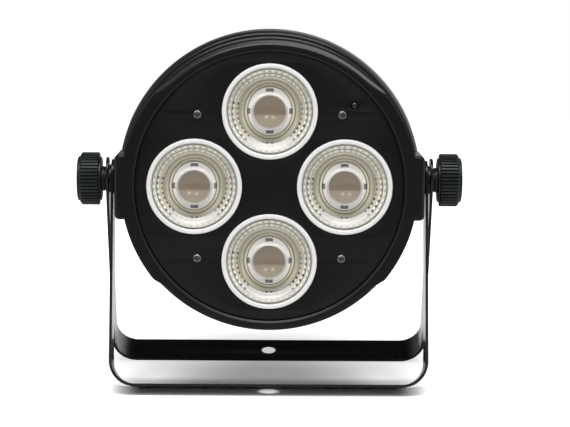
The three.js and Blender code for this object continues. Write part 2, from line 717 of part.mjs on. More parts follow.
function heatSink() {
  const base = rod('y', sinkRadius, [sinkY, sinkBackY], [0, 0], ROUND_STEPS);
  const fins = [];
  const finReach = sinkRadius - FIN_INSET;
  const finsPerSide = Math.floor((finReach - FIN_THICKNESS) / FIN_PITCH);
  for (let i = -finsPerSide; i <= finsPerSide; i++) {
    const edge = Math.abs(i * FIN_PITCH) + FIN_THICKNESS / 2;
    const halfLength = Math.sqrt(finReach ** 2 - edge ** 2);
    const depth = [sinkBackY - SINK_THICKNESS / 2, sinkBackY + FIN_HEIGHT];
    fins.push(block(centred(i * FIN_PITCH, FIN_THICKNESS), depth, [-halfLength, halfLength]));
  }
  const panelPosts = panelScrewPlaces().map((place) =>
    rod('y', PANEL_POST_RADIUS, [ledgeY, sinkY + SINK_THICKNESS / 2], place, TINY_STEPS));
  const boardPosts = [
    ...boardPostPlaces(SUPPLY_WIDTH, SUPPLY_HEIGHT, SUPPLY_Z),
    ...boardPostPlaces(DRIVER_WIDTH, DRIVER_HEIGHT, DRIVER_Z),
  ].map((place) =>
    rod('y', BOARD_POST_RADIUS, [sinkBackY - SINK_THICKNESS / 2, boardY - SEAT], place, TINY_STEPS));
  const threadEndY = panelY + PANEL_SCREW_LENGTH + SEAT;
  const threads = panelScrewPlaces().map((place) =>
    rod('y', screwHoleRadius, [ledgeY - OVERRUN, threadEndY], place, TINY_STEPS));
  return cut(join(base, ...fins, ...panelPosts, ...boardPosts), ...threads);
}

function rearHousing() {
  const ledgeBackY = sinkBackY + SEAT + SINK_LEDGE_DEPTH;
  const cavityRadius = spigotOutside;
  const shell = turned([
    [spigotInside, spigotY],
    [spigotOutside, spigotY],
    [spigotOutside, seamFrontY],
    [seamRadius, seamFrontY],
    [seamRadius, bandY],
    [bandRadius - BAND_CHAMFER, bandY],
    [bandRadius, bandY + BAND_CHAMFER],
    [bandBackRadius, bandBackY],
    [bandBackRadius - BAND_ROUND, bandBackY + BAND_ROUND],
    [shoulderRadius, shoulderY],
    [backRadius + BACK_CHAMFER, backY - BACK_CHAMFER],
    [backRadius, backY],
    [backPanelRadius + SEAT, backY],
    [backPanelRadius + SEAT, backLedgeY],
    [backPanelRadius - BACK_LEDGE_WIDTH, backLedgeY],
    [backPanelRadius - BACK_LEDGE_WIDTH, backLedgeY - BACK_LEDGE_DEPTH],
    [backRadius + BACK_CHAMFER - WALL * 2, backLedgeY - BACK_LEDGE_DEPTH],
    [shoulderRadius - WALL, shoulderY - WALL],
    [bandBackRadius - WALL - BAND_ROUND, bandBackY],
    [bandRadius - WALL, bandY + WALL],
    [cavityRadius, bandY + WALL],
    [cavityRadius, ledgeBackY],
    [spigotInside - SINK_LEDGE_WIDTH, ledgeBackY],
    [spigotInside - SINK_LEDGE_WIDTH, sinkBackY + SEAT],
    [spigotInside, sinkBackY + SEAT],
  ], ROUND_STEPS);

  const notchX = padInnerX - SEAT;
  const notchDepth = [frontEndY - OVERRUN, PAD_BEHIND_PIVOT + SEAT];
  const notchHeight = centred(0, PAD_HEIGHT + SEAT * 2);
  const backingX = notchX - NOTCH_BACKING;
  const backingY = [sinkBackY + SEAT, PAD_BEHIND_PIVOT + SEAT + WALL];
  const backingHeight = centred(0, PAD_HEIGHT + WALL * 2);
  const widest = bandBackRadius + OVERRUN;
  const backings = [
    block([backingX, notchX], backingY, backingHeight),
    block([-notchX, -backingX], backingY, backingHeight),
  ];
  const notches = [
    block([notchX, widest], notchDepth, notchHeight),
    block([-widest, -notchX], notchDepth, notchHeight),
  ];
  // Closes the band's hollow behind each notch.
  const webDepth = [PAD_BEHIND_PIVOT + SEAT, PAD_BEHIND_PIVOT + SEAT + WALL];
  const webs = [
    block([backingX, bandBackRadius - WALL], webDepth, backingHeight),
    block([-bandBackRadius + WALL, -backingX], webDepth, backingHeight),
  ];
  const screwHoles = backScrewPlaces().map((place) => {
    const depth = [backLedgeY - BACK_LEDGE_DEPTH - OVERRUN, backLedgeY + OVERRUN];
    return rod('y', screwHoleRadius, depth, place, TINY_STEPS);
  });
  return cut(join(shell, ...backings, ...webs), ...notches, ...ventCuts(), ...screwHoles);
}

// Slots round the sloping shoulder, in one row over the top and one under the bottom.
function ventCuts() {
  const middleY = (bandBackY + BAND_ROUND + shoulderY) / 2;
  const depth = centred(middleY, VENT_LENGTH);
  const radial = [shoulderRadius - WALL * 2, bandBackRadius + OVERRUN];
  const cuts = [];
  for (const start of [90, 270]) {
    for (const offset of row(VENTS_PER_SIDE, VENT_PITCH)) {
      const slot = block(radial, depth, centred(0, VENT_WIDTH));
      cuts.push(slot.rotateY(-THREE.MathUtils.degToRad(start + offset)));
    }
  }
  return cuts;
}

function backPanel() {
  const across = [backPanelInnerY - OVERRUN, backPanelY + OVERRUN];
  const opening = (x, z, width, height) =>
    block(centred(x, width + SEAT * 2), across, centred(z, height + SEAT * 2));
  const hole = (radius, place) => rod('y', radius, across, place, SMALL_STEPS);
  const eyeHoles = [1, -1].map((side) => hole(EYE_WIRE_RADIUS + SEAT, [side * EYE_SPACING / 2, eyeZ]));
  const grille = [];
  for (const side of [1, -1]) {
    const span = centred(side * grilleX, GRILLE_SLOT_LENGTH);
    for (const offset of row(GRILLE_SLOTS, GRILLE_PITCH)) {
      grille.push(block(span, across, centred(GRILLE_Z + offset, GRILLE_SLOT_WIDTH)));
    }
  }
  return cut(
    rod('y', backPanelRadius, [backPanelInnerY, backPanelY], [0, 0], ROUND_STEPS),
    opening(0, displayZ, DISPLAY_WIDTH, DISPLAY_HEIGHT),
    opening(-DATA_X, dataZ + latchZ(), LATCH_WIDTH, LATCH_HEIGHT),
    ...buttonPlaces().map((place) => hole(BUTTON_RADIUS + SEAT, place)),
    ...[1, -1].map((side) => hole(DATA_BODY_RADIUS + SEAT, [side * DATA_X, dataZ])),
    ...[1, -1].map((side) => opening(side * MAINS_X, mainsZ, MAINS_BODY_WIDTH, MAINS_BODY_HEIGHT)),
    hole(FUSE_RADIUS + SEAT, [FUSE_X, dataZ]),
    ...eyeHoles,
    ...backScrewPlaces().map((place) => rod('y', screwHoleRadius, across, place, TINY_STEPS)),
    ...grille,
  );
}

// Cross-head screw whose head sits at depth 0 and whose thread points along +Y.
function screw(length) {
  const headY = -SEAT - SCREW_HEAD_HEIGHT;
  const edge = SCREW_HEAD_HEIGHT / 2;
  const body = turned([
    [0, headY],
    [SCREW_HEAD_RADIUS - edge, headY],
    [SCREW_HEAD_RADIUS, headY + edge],
    [SCREW_HEAD_RADIUS, -SEAT],
    [SCREW_RADIUS, -SEAT],
    [SCREW_RADIUS, length - SCREW_RADIUS / 2],
    [SCREW_RADIUS / 2, length],
    [0, length],
  ], TINY_STEPS);
  const depth = [headY - OVERRUN, headY + RECESS_DEPTH];
  const bar = block(centred(0, RECESS_SPAN), depth, centred(0, RECESS_WIDTH));
  return cut(body, bar, bar.clone().rotateY(Math.PI / 2));
}

function sensorWindow() {
  const flangeY = panelBackY + SEAT;
  return turned([
    [0, panelY - SEAT],
    [SENSOR_RADIUS, panelY - SEAT],
    [SENSOR_RADIUS, flangeY],
    [SENSOR_FLANGE_RADIUS, flangeY],
    [SENSOR_FLANGE_RADIUS, panelY + SENSOR_LENGTH],
    [0, panelY + SENSOR_LENGTH],
  ], TINY_STEPS);
}

function displayWindow() {
  const lipY = backPanelInnerY - SEAT;
  const front = block(
    centred(0, DISPLAY_WIDTH), [lipY, backPanelY], centred(displayZ, DISPLAY_HEIGHT));
  const lip = block(
    centred(0, DISPLAY_WIDTH + DISPLAY_LIP * 2),
    [lipY - DISPLAY_THICKNESS, lipY],
    centred(displayZ, DISPLAY_HEIGHT + DISPLAY_LIP * 2));
  return join(front, lip);
}

const buttonNames = ['menu', 'up', 'down', 'enter'];

function buttonPlaces() {
  return row(buttonNames.length, BUTTON_PITCH).map((x) => [x, buttonZ]);
}

// Push button on its own axis: the cap stands out of the panel and the flange keeps it in.
function pushButton() {
  const flangeY = backPanelInnerY - SEAT;
  const topY = backPanelY + BUTTON_PROUD;
  return turned([
    [0, flangeY - BUTTON_FLANGE_THICKNESS],
    [BUTTON_RADIUS + BUTTON_FLANGE, flangeY - BUTTON_FLANGE_THICKNESS],
    [BUTTON_RADIUS + BUTTON_FLANGE, flangeY],
    [BUTTON_RADIUS, flangeY],
    [BUTTON_RADIUS, topY - BUTTON_FLANGE],
    [BUTTON_RADIUS - BUTTON_FLANGE, topY],
    [0, topY],
  ], SMALL_STEPS);
}

function controlBoard() {
  const plate = block(
    centred(0, CONTROL_BOARD_WIDTH),
    [controlBoardY, controlBoardBackY],
    centred(controlBoardZ, CONTROL_BOARD_HEIGHT));
  const screenBackY = backPanelInnerY - SEAT * 2 - DISPLAY_THICKNESS;
  const overlap = BOARD_THICKNESS / 2;
  const screen = block(
    centred(0, DISPLAY_WIDTH),
    [controlBoardBackY - overlap, screenBackY],
    centred(displayZ, DISPLAY_HEIGHT));
  const switchTopY = backPanelInnerY - SEAT * 2 - BUTTON_FLANGE_THICKNESS - BUTTON_TRAVEL;
  const switches = buttonPlaces().map(([x, z]) =>
    block(centred(x, SWITCH_SIDE), [controlBoardBackY - overlap, switchTopY], centred(z, SWITCH_SIDE)));
  const postDepth = [controlBoardBackY - overlap, backPanelInnerY - SEAT];
  const posts = boardPostPlaces(CONTROL_BOARD_WIDTH, CONTROL_BOARD_HEIGHT, controlBoardZ)
    .map((place) => rod('y', CONTROL_POST_RADIUS, postDepth, place, TINY_STEPS));
  return join(plate, screen, ...switches, ...posts);
}

// Socket body with its flange against the panel's outer face.
function dataSocketBody() {
  const flange = block(
    centred(0, DATA_FLANGE_WIDTH), [socketFlangeY, socketMouthY], centred(0, DATA_FLANGE_HEIGHT));
  const barrelDepth = [backPanelY - DATA_BODY_DEPTH, (socketFlangeY + socketMouthY) / 2];
  return join(flange, rod('y', DATA_BODY_RADIUS, barrelDepth, [0, 0], SMALL_STEPS));
}

function dataPinPlaces() {
  return [90, 210, 330].map((degrees) => {
    const angle = THREE.MathUtils.degToRad(degrees);
    return [DATA_PIN_ORBIT * Math.cos(angle), DATA_PIN_ORBIT * Math.sin(angle)];
  });
}

function dataInSocket() {
  const floorY = socketMouthY - DATA_BORE_DEPTH;
  const bore = rod('y', DATA_BORE_RADIUS, [floorY, socketMouthY + OVERRUN], [0, 0], SMALL_STEPS);
  const pins = dataPinPlaces().map((place) =>
    rod('y', DATA_PIN_RADIUS, [floorY - OVERRUN, socketMouthY - DATA_INSERT_RECESS], place, TINY_STEPS));
  return join(cut(dataSocketBody(), bore), ...pins);
}

function dataOutSocket() {
  const insertY = socketMouthY - DATA_INSERT_RECESS;
  const bore = rod('y', DATA_BORE_RADIUS, [insertY, socketMouthY + OVERRUN], [0, 0], SMALL_STEPS);
  const contacts = dataPinPlaces().map((place) =>
    rod('y', DATA_PIN_RADIUS, [socketMouthY - DATA_BORE_DEPTH, insertY + OVERRUN], place, TINY_STEPS));
  return cut(dataSocketBody(), bore, ...contacts, latchSpace());
}

function latchZ() {
  return (DATA_BORE_RADIUS + DATA_FLANGE_HEIGHT / 2) / 2;
}

function latchSpace() {
  return block(
    centred(0, LATCH_WIDTH + SEAT * 2),
    [socketFlangeY - OVERRUN, socketMouthY + OVERRUN],
    centred(latchZ(), LATCH_HEIGHT + SEAT * 2));
}

function dataLatch() {
  return block(
    centred(0, LATCH_WIDTH), [socketFlangeY, socketMouthY + LATCH_PROUD], centred(latchZ(), LATCH_HEIGHT));
}

function mainsBody() {
  const flange = block(
    centred(0, MAINS_FLANGE_WIDTH), [socketFlangeY, socketMouthY], centred(0, MAINS_FLANGE_HEIGHT));
  const body = block(
    centred(0, MAINS_BODY_WIDTH),
    [backPanelY - MAINS_BODY_DEPTH, (socketFlangeY + socketMouthY) / 2],
    centred(0, MAINS_BODY_HEIGHT));
  return join(flange, body);
}

function mainsPins([from, to], grow) {
  const width = MAINS_PIN_WIDTH + grow * 2;
  const height = MAINS_PIN_HEIGHT + grow * 2;
  return [[-1, 0], [0, 1], [1, 0]].map(([side, up]) =>
    block(centred(side * MAINS_PIN_PITCH, width), [from, to], centred(up * MAINS_PIN_HEIGHT / 2, height)));
}

function mainsMouth(floorY) {
  return block(
    centred(0, MAINS_MOUTH_WIDTH), [floorY, socketMouthY + OVERRUN], centred(0, MAINS_MOUTH_HEIGHT));
}

function mainsInlet() {
  const floorY = socketMouthY - MAINS_MOUTH_DEPTH;
  const pins = mainsPins([floorY - OVERRUN, floorY + MAINS_PIN_LENGTH], 0);
  return join(cut(mainsBody(), mainsMouth(floorY)), ...pins);
}

function mainsOutlet() {
  const floorY = socketMouthY - OUTLET_RECESS;
  const contacts = mainsPins([floorY - MAINS_PIN_LENGTH, floorY + OVERRUN], SEAT);
  return cut(mainsBody(), mainsMouth(floorY), ...contacts);
}

function fuseHolder() {
  const boreDepth = [socketMouthY - FUSE_CAP_LENGTH - SEAT, socketMouthY + OVERRUN];
  const capBore = rod('y', FUSE_CAP_RADIUS + SEAT, boreDepth, [0, 0], SMALL_STEPS);
  const body = turned([
    [0, backPanelY - FUSE_DEPTH],
    [FUSE_RADIUS, backPanelY - FUSE_DEPTH],
    [FUSE_RADIUS, socketFlangeY],
    [FUSE_FLANGE_RADIUS, socketFlangeY],
    [FUSE_FLANGE_RADIUS, socketMouthY],
    [0, socketMouthY],
  ], SMALL_STEPS);
  return cut(body, capBore);
}

function fuseCap() {
  const topY = socketMouthY + FUSE_CAP_PROUD;
  const slot = block(
    centred(0, FUSE_SLOT_LENGTH), [topY - FUSE_SLOT_DEPTH, topY + OVERRUN], centred(0, FUSE_SLOT_WIDTH));
  const innerY = topY - FUSE_CAP_PROUD - FUSE_CAP_LENGTH;
  return cut(rod('y', FUSE_CAP_RADIUS, [innerY, topY], [0, 0], SMALL_STEPS), slot);
}

// Bent wire that goes through the back panel and stands up behind it.
function safetyEye() {
  const half = EYE_SPACING / 2;
  const startY = backPanelInnerY - EYE_INSIDE;
  const bendY = backPanelY + EYE_STAND;
  const path = new THREE.CurvePath();
  const corner = (share) => {
    const angle = Math.PI * share;
    return new THREE.Vector3(half * Math.cos(angle), bendY + half * Math.sin(angle), eyeZ);
  };
  path.add(new THREE.LineCurve3(new THREE.Vector3(half, startY, eyeZ), corner(0)));
  for (let i = 0; i < EYE_ARC_STEPS; i++) {
    path.add(new THREE.LineCurve3(corner(i / EYE_ARC_STEPS), corner((i + 1) / EYE_ARC_STEPS)));
  }
  path.add(new THREE.LineCurve3(corner(1), new THREE.Vector3(-half, startY, eyeZ)));
  const section = new THREE.Shape();
  section.absarc(0, 0, EYE_WIRE_RADIUS, 0, Math.PI * 2);
  return new THREE.ExtrudeGeometry(section, {
    steps: EYE_LENGTH_STEPS, extrudePath: path, bevelEnabled: false, curveSegments: WIRE_STEPS,
  });
}

function supplyBoard() {
  const overlap = BOARD_THICKNESS / 2;
  const part = ([width, depth, height], x, z) =>
    block(centred(x, width), [boardBackY - overlap, boardBackY + depth], centred(z, height));
  const capacitors = [-1, 1].map((side) =>
    rod('y', CAPACITOR_RADIUS, [boardBackY - overlap, boardBackY + CAPACITOR_DEPTH],
      [CAPACITOR_X, SUPPLY_Z + side * CAPACITOR_GAP / 2], SMALL_STEPS));
  return join(
    block(centred(0, SUPPLY_WIDTH), [boardY, boardBackY], centred(SUPPLY_Z, SUPPLY_HEIGHT)),
    part(TRANSFORMER, TRANSFORMER_X, SUPPLY_Z), part(CHOKE, CHOKE_X, SUPPLY_Z), ...capacitors);
}

function driverBoard() {
  const overlap = BOARD_THICKNESS / 2;
  const [width, depth, height] = CHIP;
  const chips = row(CHIP_COUNT, CHIP_PITCH).map((x) =>
    block(centred(x, width), [boardBackY - overlap, boardBackY + depth], centred(DRIVER_Z, height)));
  const plate = block(centred(0, DRIVER_WIDTH), [boardY, boardBackY], centred(DRIVER_Z, DRIVER_HEIGHT));
  return join(plate, ...chips);
}

// The clamp's pieces stand along X on the right-hand side and are turned round for the left.
function washerAt(from, thickness, radius) {
  const ring = rod('x', radius, [from, from + thickness], [0, 0], KNOB_STEPS);
  const through = [from - OVERRUN, from + thickness + OVERRUN];
  return cut(ring, rod('x', studHoleRadius, through, [0, 0], SMALL_STEPS));
}

function threadedInsert() {
  return washerAt(insertX, padOuterX - SEAT - insertX, INSERT_RADIUS);
}

function stud() {
  const endX = knobX + STUD_IN_KNOB;
  return turned([
    [0, insertX],
    [STUD_RADIUS - STUD_CHAMFER, insertX],
    [STUD_RADIUS, insertX + STUD_CHAMFER],
    [STUD_RADIUS, endX],
    [0, endX],
  ], SMALL_STEPS).rotateZ(-Math.PI / 2);
}

function ribbedOutline() {
  const valley = KNOB_RADIUS - RIB_DEPTH;
  const points = [];
  for (let i = 0; i < RIB_COUNT; i++) {
    const angle = (i / RIB_COUNT) * Math.PI * 2;
    const half = Math.PI / RIB_COUNT;
    points.push(new THREE.Vector2(KNOB_RADIUS * Math.cos(angle), KNOB_RADIUS * Math.sin(angle)));
    points.push(new THREE.Vector2(valley * Math.cos(angle + half), valley * Math.sin(angle + half)));
  }
  return new THREE.Shape(points);
}

function knob() {
  const shoulderX = knobX + NECK_LENGTH;
  const ribsX = shoulderX + KNOB_SHOULDER_LENGTH;
  const ribsEndX = ribsX + KNOB_LENGTH;
  const grip = pushedAlongX(ribbedOutline(), [ribsX + KNOB_CHAMFER, ribsEndX - KNOB_CHAMFER], {
    bevelEnabled: true, bevelThickness: KNOB_CHAMFER, bevelSize: KNOB_CHAMFER, bevelOffset: -KNOB_CHAMFER,
    bevelSegments: 1,
  });
  const neck = rod('x', NECK_RADIUS, [knobX, ribsX + KNOB_CHAMFER], [0, 0], SMALL_STEPS);
  const shoulder = rod('x', KNOB_SHOULDER_RADIUS, [shoulderX, ribsX + KNOB_CHAMFER], [0, 0], KNOB_STEPS);
  const discSpan = [ribsEndX - KNOB_CHAMFER, ribsEndX + KNOB_DISC_PROUD];
  const disc = rod('x', KNOB_DISC_RADIUS, discSpan, [0, 0], KNOB_STEPS);
  const bore = rod('x', studHoleRadius, [knobX - OVERRUN, knobX + STUD_IN_KNOB + SEAT], [0, 0], SMALL_STEPS);
  return cut(join(grip, neck, shoulder, disc), bore);
}

// Assembly
const light = new THREE.Group();
const pivot = new THREE.Group();
pivot.position.set(0, pivotY, pivotHeight);
light.add(pivot);
const tilted = new THREE.Group();
tilted.rotation.x = -THREE.MathUtils.degToRad(HEAD_TILT);
pivot.add(tilted);
const head = new THREE.Group();
head.position.z = -HEAD_DROP;
tilted.add(head);

function place(parent, name, geometry, material, [x, y, z] = [0, 0, 0]) {
  const mesh = new THREE.Mesh(closed(geometry), material);
  mesh.name = name;
  mesh.position.set(x, y, z);
  parent.add(mesh);
  return mesh;
}

place(head, 'front_housing', frontHousing(), blackPaint);
place(head, 'front_panel', frontPanel(), blackPaint);
place(head, 'rear_housing', rearHousing(), blackPaint);
place(head, 'back_panel', backPanel(), blackPaint);
place(head, 'heat_sink', heatSink(), aluminium);
place(head, 'light_board', lightBoard(), whitePlastic);
place(head, 'sensor_window', sensorWindow(), darkWindow, [sensorX, 0, sensorZ]);

const lensNames = ['top', 'right', 'bottom', 'left'];
lensPlaces().forEach(([x, z], i) => {
  place(head, `lens_holder_${lensNames[i]}`, lensHolder(), whitePlastic, [x, 0, z]);
  place(head, `lens_${lensNames[i]}`, lens(), lensPlastic, [x, 0, z]);
  place(head, `emitter_${lensNames[i]}`, emitter(), phosphor, [x, 0, z]);
});
panelScrewPlaces().forEach(([x, z], i) => {
  place(head, `panel_screw_${i + 1}`, screw(PANEL_SCREW_LENGTH), steel, [x, panelY, z]);
});
backScrewPlaces().forEach(([x, z], i) => {
  const mesh = place(head, `back_screw_${i + 1}`, screw(BACK_SCREW_LENGTH), darkSteel, [x, backPanelY, z]);
  mesh.rotation.z = Math.PI;
});

place(head, 'supply_board', supplyBoard(), boardGreen);
place(head, 'driver_board', driverBoard(), boardGreen);
place(head, 'control_board', controlBoard(), boardGreen);
place(head, 'display_window', displayWindow(), darkWindow);
buttonPlaces().forEach(([x, z], i) => {
  place(head, `${buttonNames[i]}_button`, pushButton(), blackPlastic, [x, 0, z]);
});
place(head, 'data_in_socket', dataInSocket(), blackPlastic, [DATA_X, 0, dataZ]);
place(head, 'data_out_socket', dataOutSocket(), blackPlastic, [-DATA_X, 0, dataZ]);
place(head, 'data_latch', dataLatch(), darkSteel, [-DATA_X, 0, dataZ]);
place(head, 'mains_inlet', mainsInlet(), blackPlastic, [MAINS_X, 0, mainsZ]);
place(head, 'mains_outlet', mainsOutlet(), blackPlastic, [-MAINS_X, 0, mainsZ]);
place(head, 'fuse_holder', fuseHolder(), blackPlastic, [FUSE_X, 0, dataZ]);
place(head, 'fuse_cap', fuseCap(), blackPlastic, [FUSE_X, 0, dataZ]);
place(head, 'safety_eye', safetyEye(), steel);

for (const [name, turn] of [['right', 0], ['left', Math.PI]]) {
  const clamp = new THREE.Group();
  clamp.rotation.z = turn;
  pivot.add(clamp);
  place(clamp, `pivot_insert_${name}`, threadedInsert(), brass);
  place(clamp, `rubber_washer_${name}`, washerAt(rubberX, RUBBER_THICKNESS, RUBBER_RADIUS), rubber);
  place(clamp, `spacer_washer_${name}`, washerAt(spacerX, SPACER_THICKNESS, SPACER_RADIUS), darkSteel);
  place(clamp, `captive_washer_${name}`, washerAt(captiveX, CAPTIVE_THICKNESS, CAPTIVE_RADIUS), darkSteel);
  place(clamp, `stud_${name}`, stud(), steel);
  place(clamp, `knob_${name}`, knob(), blackPlastic);
}

const frontBracket = place(pivot, 'front_bracket',
  bracket(FRONT_REACH, frontStripX, FRONT_EAR_RISE, FRONT_BAR_HOLE), stripPaint);
frontBracket.rotation.x = -frontLean;
const rearBracket = place(pivot, 'rear_bracket',
  bracket(rearReach, rearStripX, REAR_EAR_RISE, REAR_BAR_HOLE), stripPaint);
rearBracket.rotation.x = rearLean;

export default light;
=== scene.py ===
"""Visible pieces of a flat LED wash light, built round its CAD frame."""

import json
import math

import bmesh
import bpy
from mathutils import Matrix, Vector


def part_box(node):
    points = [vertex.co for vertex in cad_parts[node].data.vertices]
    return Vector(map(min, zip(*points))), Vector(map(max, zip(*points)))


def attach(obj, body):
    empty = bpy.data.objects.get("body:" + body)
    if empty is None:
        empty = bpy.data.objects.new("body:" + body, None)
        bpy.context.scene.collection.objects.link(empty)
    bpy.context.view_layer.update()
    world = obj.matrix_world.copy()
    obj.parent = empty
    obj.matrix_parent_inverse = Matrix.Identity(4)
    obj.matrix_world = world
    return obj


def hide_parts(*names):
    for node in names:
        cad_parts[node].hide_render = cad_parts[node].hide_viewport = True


bl_info = {
    "name": "Flat LED wash light",
    "version": (1, 0, 0),
    "blender": (4, 5, 0),
    "location": "3D View > Sidebar > Wash light",
    "description": "Builds the visible pieces of a flat LED wash light round its CAD frame",
    "category": "Add Mesh",
}

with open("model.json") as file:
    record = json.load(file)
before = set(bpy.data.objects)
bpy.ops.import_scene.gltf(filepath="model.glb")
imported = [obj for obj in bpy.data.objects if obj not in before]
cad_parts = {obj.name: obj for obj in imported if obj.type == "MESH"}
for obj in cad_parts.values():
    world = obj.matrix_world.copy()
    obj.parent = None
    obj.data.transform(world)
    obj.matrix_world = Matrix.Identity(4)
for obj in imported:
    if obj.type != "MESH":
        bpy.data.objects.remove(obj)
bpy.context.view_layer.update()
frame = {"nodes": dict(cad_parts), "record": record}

MM = 0.001
TINY = 1e-6
NEARLY_STRAIGHT = math.radians(89.5)  # half of a corner too flat to round
LENSES = ("top", "right", "bottom", "left")
BUTTONS = ("menu", "up", "down", "enter")
SIDES = (("right", 0.0), ("left", math.pi))
BOTH = (1, -1)

# Fits that several pieces share, in mm
SEAT = 0.3  # room between pieces that rest on each other
STUD_BORE = 4.3  # radius of the hole round each knob's stud
SCREW_HOLE, SENSOR_HOLE = 1.8, 2.8  # radii
LOWERED = math.radians(-90)  # turns a body about Y into one about X

NODE_BODY = {
    node: body
    for body, nodes in frame["record"]["behaviour"]["bodies"].items()
    for node in nodes
}


PIVOT = Vector((0, *(sum(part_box("stud_right"), Vector()) / 2).yz))
HEAD_TILT, HEAD_DROP = math.radians(4.95), 1.6 * MM
HEAD = (Matrix.Translation(PIVOT) @ Matrix.Rotation(-HEAD_TILT, 4, "X")
        @ Matrix.Translation((0, 0, -HEAD_DROP)))


def clamp_place(turn):
    """Frame of the clamp at one pivot: X points outwards along the pivot axis."""
    return Matrix.Translation(PIVOT) @ Matrix.Rotation(turn, 4, "Z")


def moved_by(x, y, z):
    return Matrix.Translation(Vector((x, y, z)) * MM)


def extent(node, place):
    """Lowest and highest corner of a CAD node in a piece's own frame, in mm."""
    inverse = place.inverted()
    corners = [inverse @ vertex.co / MM for vertex in frame["nodes"][node].data.vertices]
    return [Vector([pick(corner[i] for corner in corners) for i in range(3)])
            for pick in (min, max)]


def centre_of(node):
    """Middle of a CAD node across the head, in mm."""
    low, high = extent(node, HEAD)
    return (low.x + high.x) / 2, (low.z + high.z) / 2


def radius_of(node):
    """Half the width of a CAD node across the head, in mm."""
    low, high = extent(node, HEAD)
    return (high.x - low.x) / 2


def numbered(group):
    return [f"{group}_{i}" for i in range(1, 5)]


# ---------------------------------------------------------------- settings


class HousingSettings(bpy.types.PropertyGroup):
    edge: bpy.props.FloatProperty(
        name="Edge rounding", description="Radius of the housing's outer edges",
        default=0.9 * MM, min=0.1 * MM, unit="LENGTH")
    vent_width: bpy.props.FloatProperty(
        name="Vent width", description="Width of the slots in the rear housing",
        default=4.5 * MM, min=1 * MM, unit="LENGTH")
    vents: bpy.props.IntProperty(
        name="Vents", description="Slots along the top and again along the bottom",
        default=7, min=1)
    paint: bpy.props.FloatVectorProperty(
        name="Paint", description="Colour of the housings and both panels",
        default=(0.003, 0.0032, 0.0035), subtype="COLOR", size=3)


class LensSettings(bpy.types.PropertyGroup):
    cells: bpy.props.IntProperty(
        name="Cells", description="Facets in one row round the reflector of a lens",
        default=40, min=8)
    bulge: bpy.props.FloatProperty(
        name="Cell bulge", description="How far each facet stands out in its middle",
        default=0.26 * MM, min=0.0, unit="LENGTH")
    depth: bpy.props.FloatProperty(
        name="Depth", description="Depth of the reflector behind its face",
        default=8 * MM, min=5 * MM, unit="LENGTH")
    holder: bpy.props.FloatVectorProperty(
        name="Holder", description="Colour of the white lens holders",
        default=(0.9, 0.9, 0.89), subtype="COLOR", size=3)


class KnobSettings(bpy.types.PropertyGroup):
    ribs: bpy.props.IntProperty(
        name="Ribs", description="Ribs round the grip of each knob", default=46, min=6)
    rib_depth: bpy.props.FloatProperty(
        name="Rib depth", description="Depth of the grooves between the ribs",
        default=0.95 * MM, min=0.1 * MM, unit="LENGTH")
    plastic: bpy.props.FloatVectorProperty(
        name="Plastic", description="Colour of the moulded knobs",
        default=(0.0048, 0.0075, 0.008), subtype="COLOR", size=3)


class BracketSettings(bpy.types.PropertyGroup):
    front_lean: bpy.props.FloatProperty(
        name="Front lean", description="How far the front bracket leans forward",
        default=math.radians(16.62), subtype="ANGLE")
    rear_lean: bpy.props.FloatProperty(
        name="Rear lean", description="How far the rear bracket leans back",
        default=math.radians(20.827), subtype="ANGLE")
    bend: bpy.props.FloatProperty(
        name="Bend", description="Outer radius of the two bends", default=18 * MM,
        min=4 * MM, unit="LENGTH")
    paint: bpy.props.FloatVectorProperty(
        name="Paint", description="Colour of both brackets",
        default=(0.004, 0.004, 0.0043), subtype="COLOR", size=3)


class StageSettings(bpy.types.PropertyGroup):
    focal_length: bpy.props.FloatProperty(
        name="Focal length", description="Camera lens in millimetres", default=135.97,
        unit="CAMERA")
    distance: bpy.props.FloatProperty(
        name="Distance", description="Camera in front of the pivot axis",
        default=1.5049, unit="LENGTH")
    height: bpy.props.FloatProperty(
        name="Height", description="Camera above the pivot axis", default=0.2711,
        unit="LENGTH")
    look_down: bpy.props.FloatProperty(
        name="Look down", description="Camera pitch below the horizon",
        default=math.radians(11.123), subtype="ANGLE")
    roll: bpy.props.FloatProperty(
        name="Roll", description="Camera turned about its own axis",
        default=math.radians(0.3), subtype="ANGLE")
    shift: bpy.props.FloatProperty(
        name="Shift", description="Sideways shift of the picture", default=0.0275,
        subtype="FACTOR")
    sky: bpy.props.FloatProperty(
        name="Room light", description="Strength of the light from all round",
        default=0.35, min=0.0)
    front_light: bpy.props.FloatProperty(
        name="Front light", description="Strength of the soft light from the front",
        default=0.4, min=0.0)
    overhead: bpy.props.FloatProperty(
        name="Overhead lamp", description="Power of the soft lamp above", default=14.0,
        min=0.0, unit="POWER")


class WashLightSettings(bpy.types.PropertyGroup):
    housing: bpy.props.PointerProperty(
        type=HousingSettings, name="Housing", description="Sizes and colour of the housings")
    lens: bpy.props.PointerProperty(
        type=LensSettings, name="Lens", description="Sizes and colour of the lenses")
    knob: bpy.props.PointerProperty(
        type=KnobSettings, name="Knob", description="Sizes and colour of the knobs")
    bracket: bpy.props.PointerProperty(
        type=BracketSettings, name="Bracket", description="Sizes and colour of the brackets")
    stage: bpy.props.PointerProperty(
        type=StageSettings, name="Stage", description="Camera and light")


def settings():
    """What the user has chosen for each group of pieces."""
    return bpy.context.scene.wash_light


# ---------------------------------------------------------------- finishes


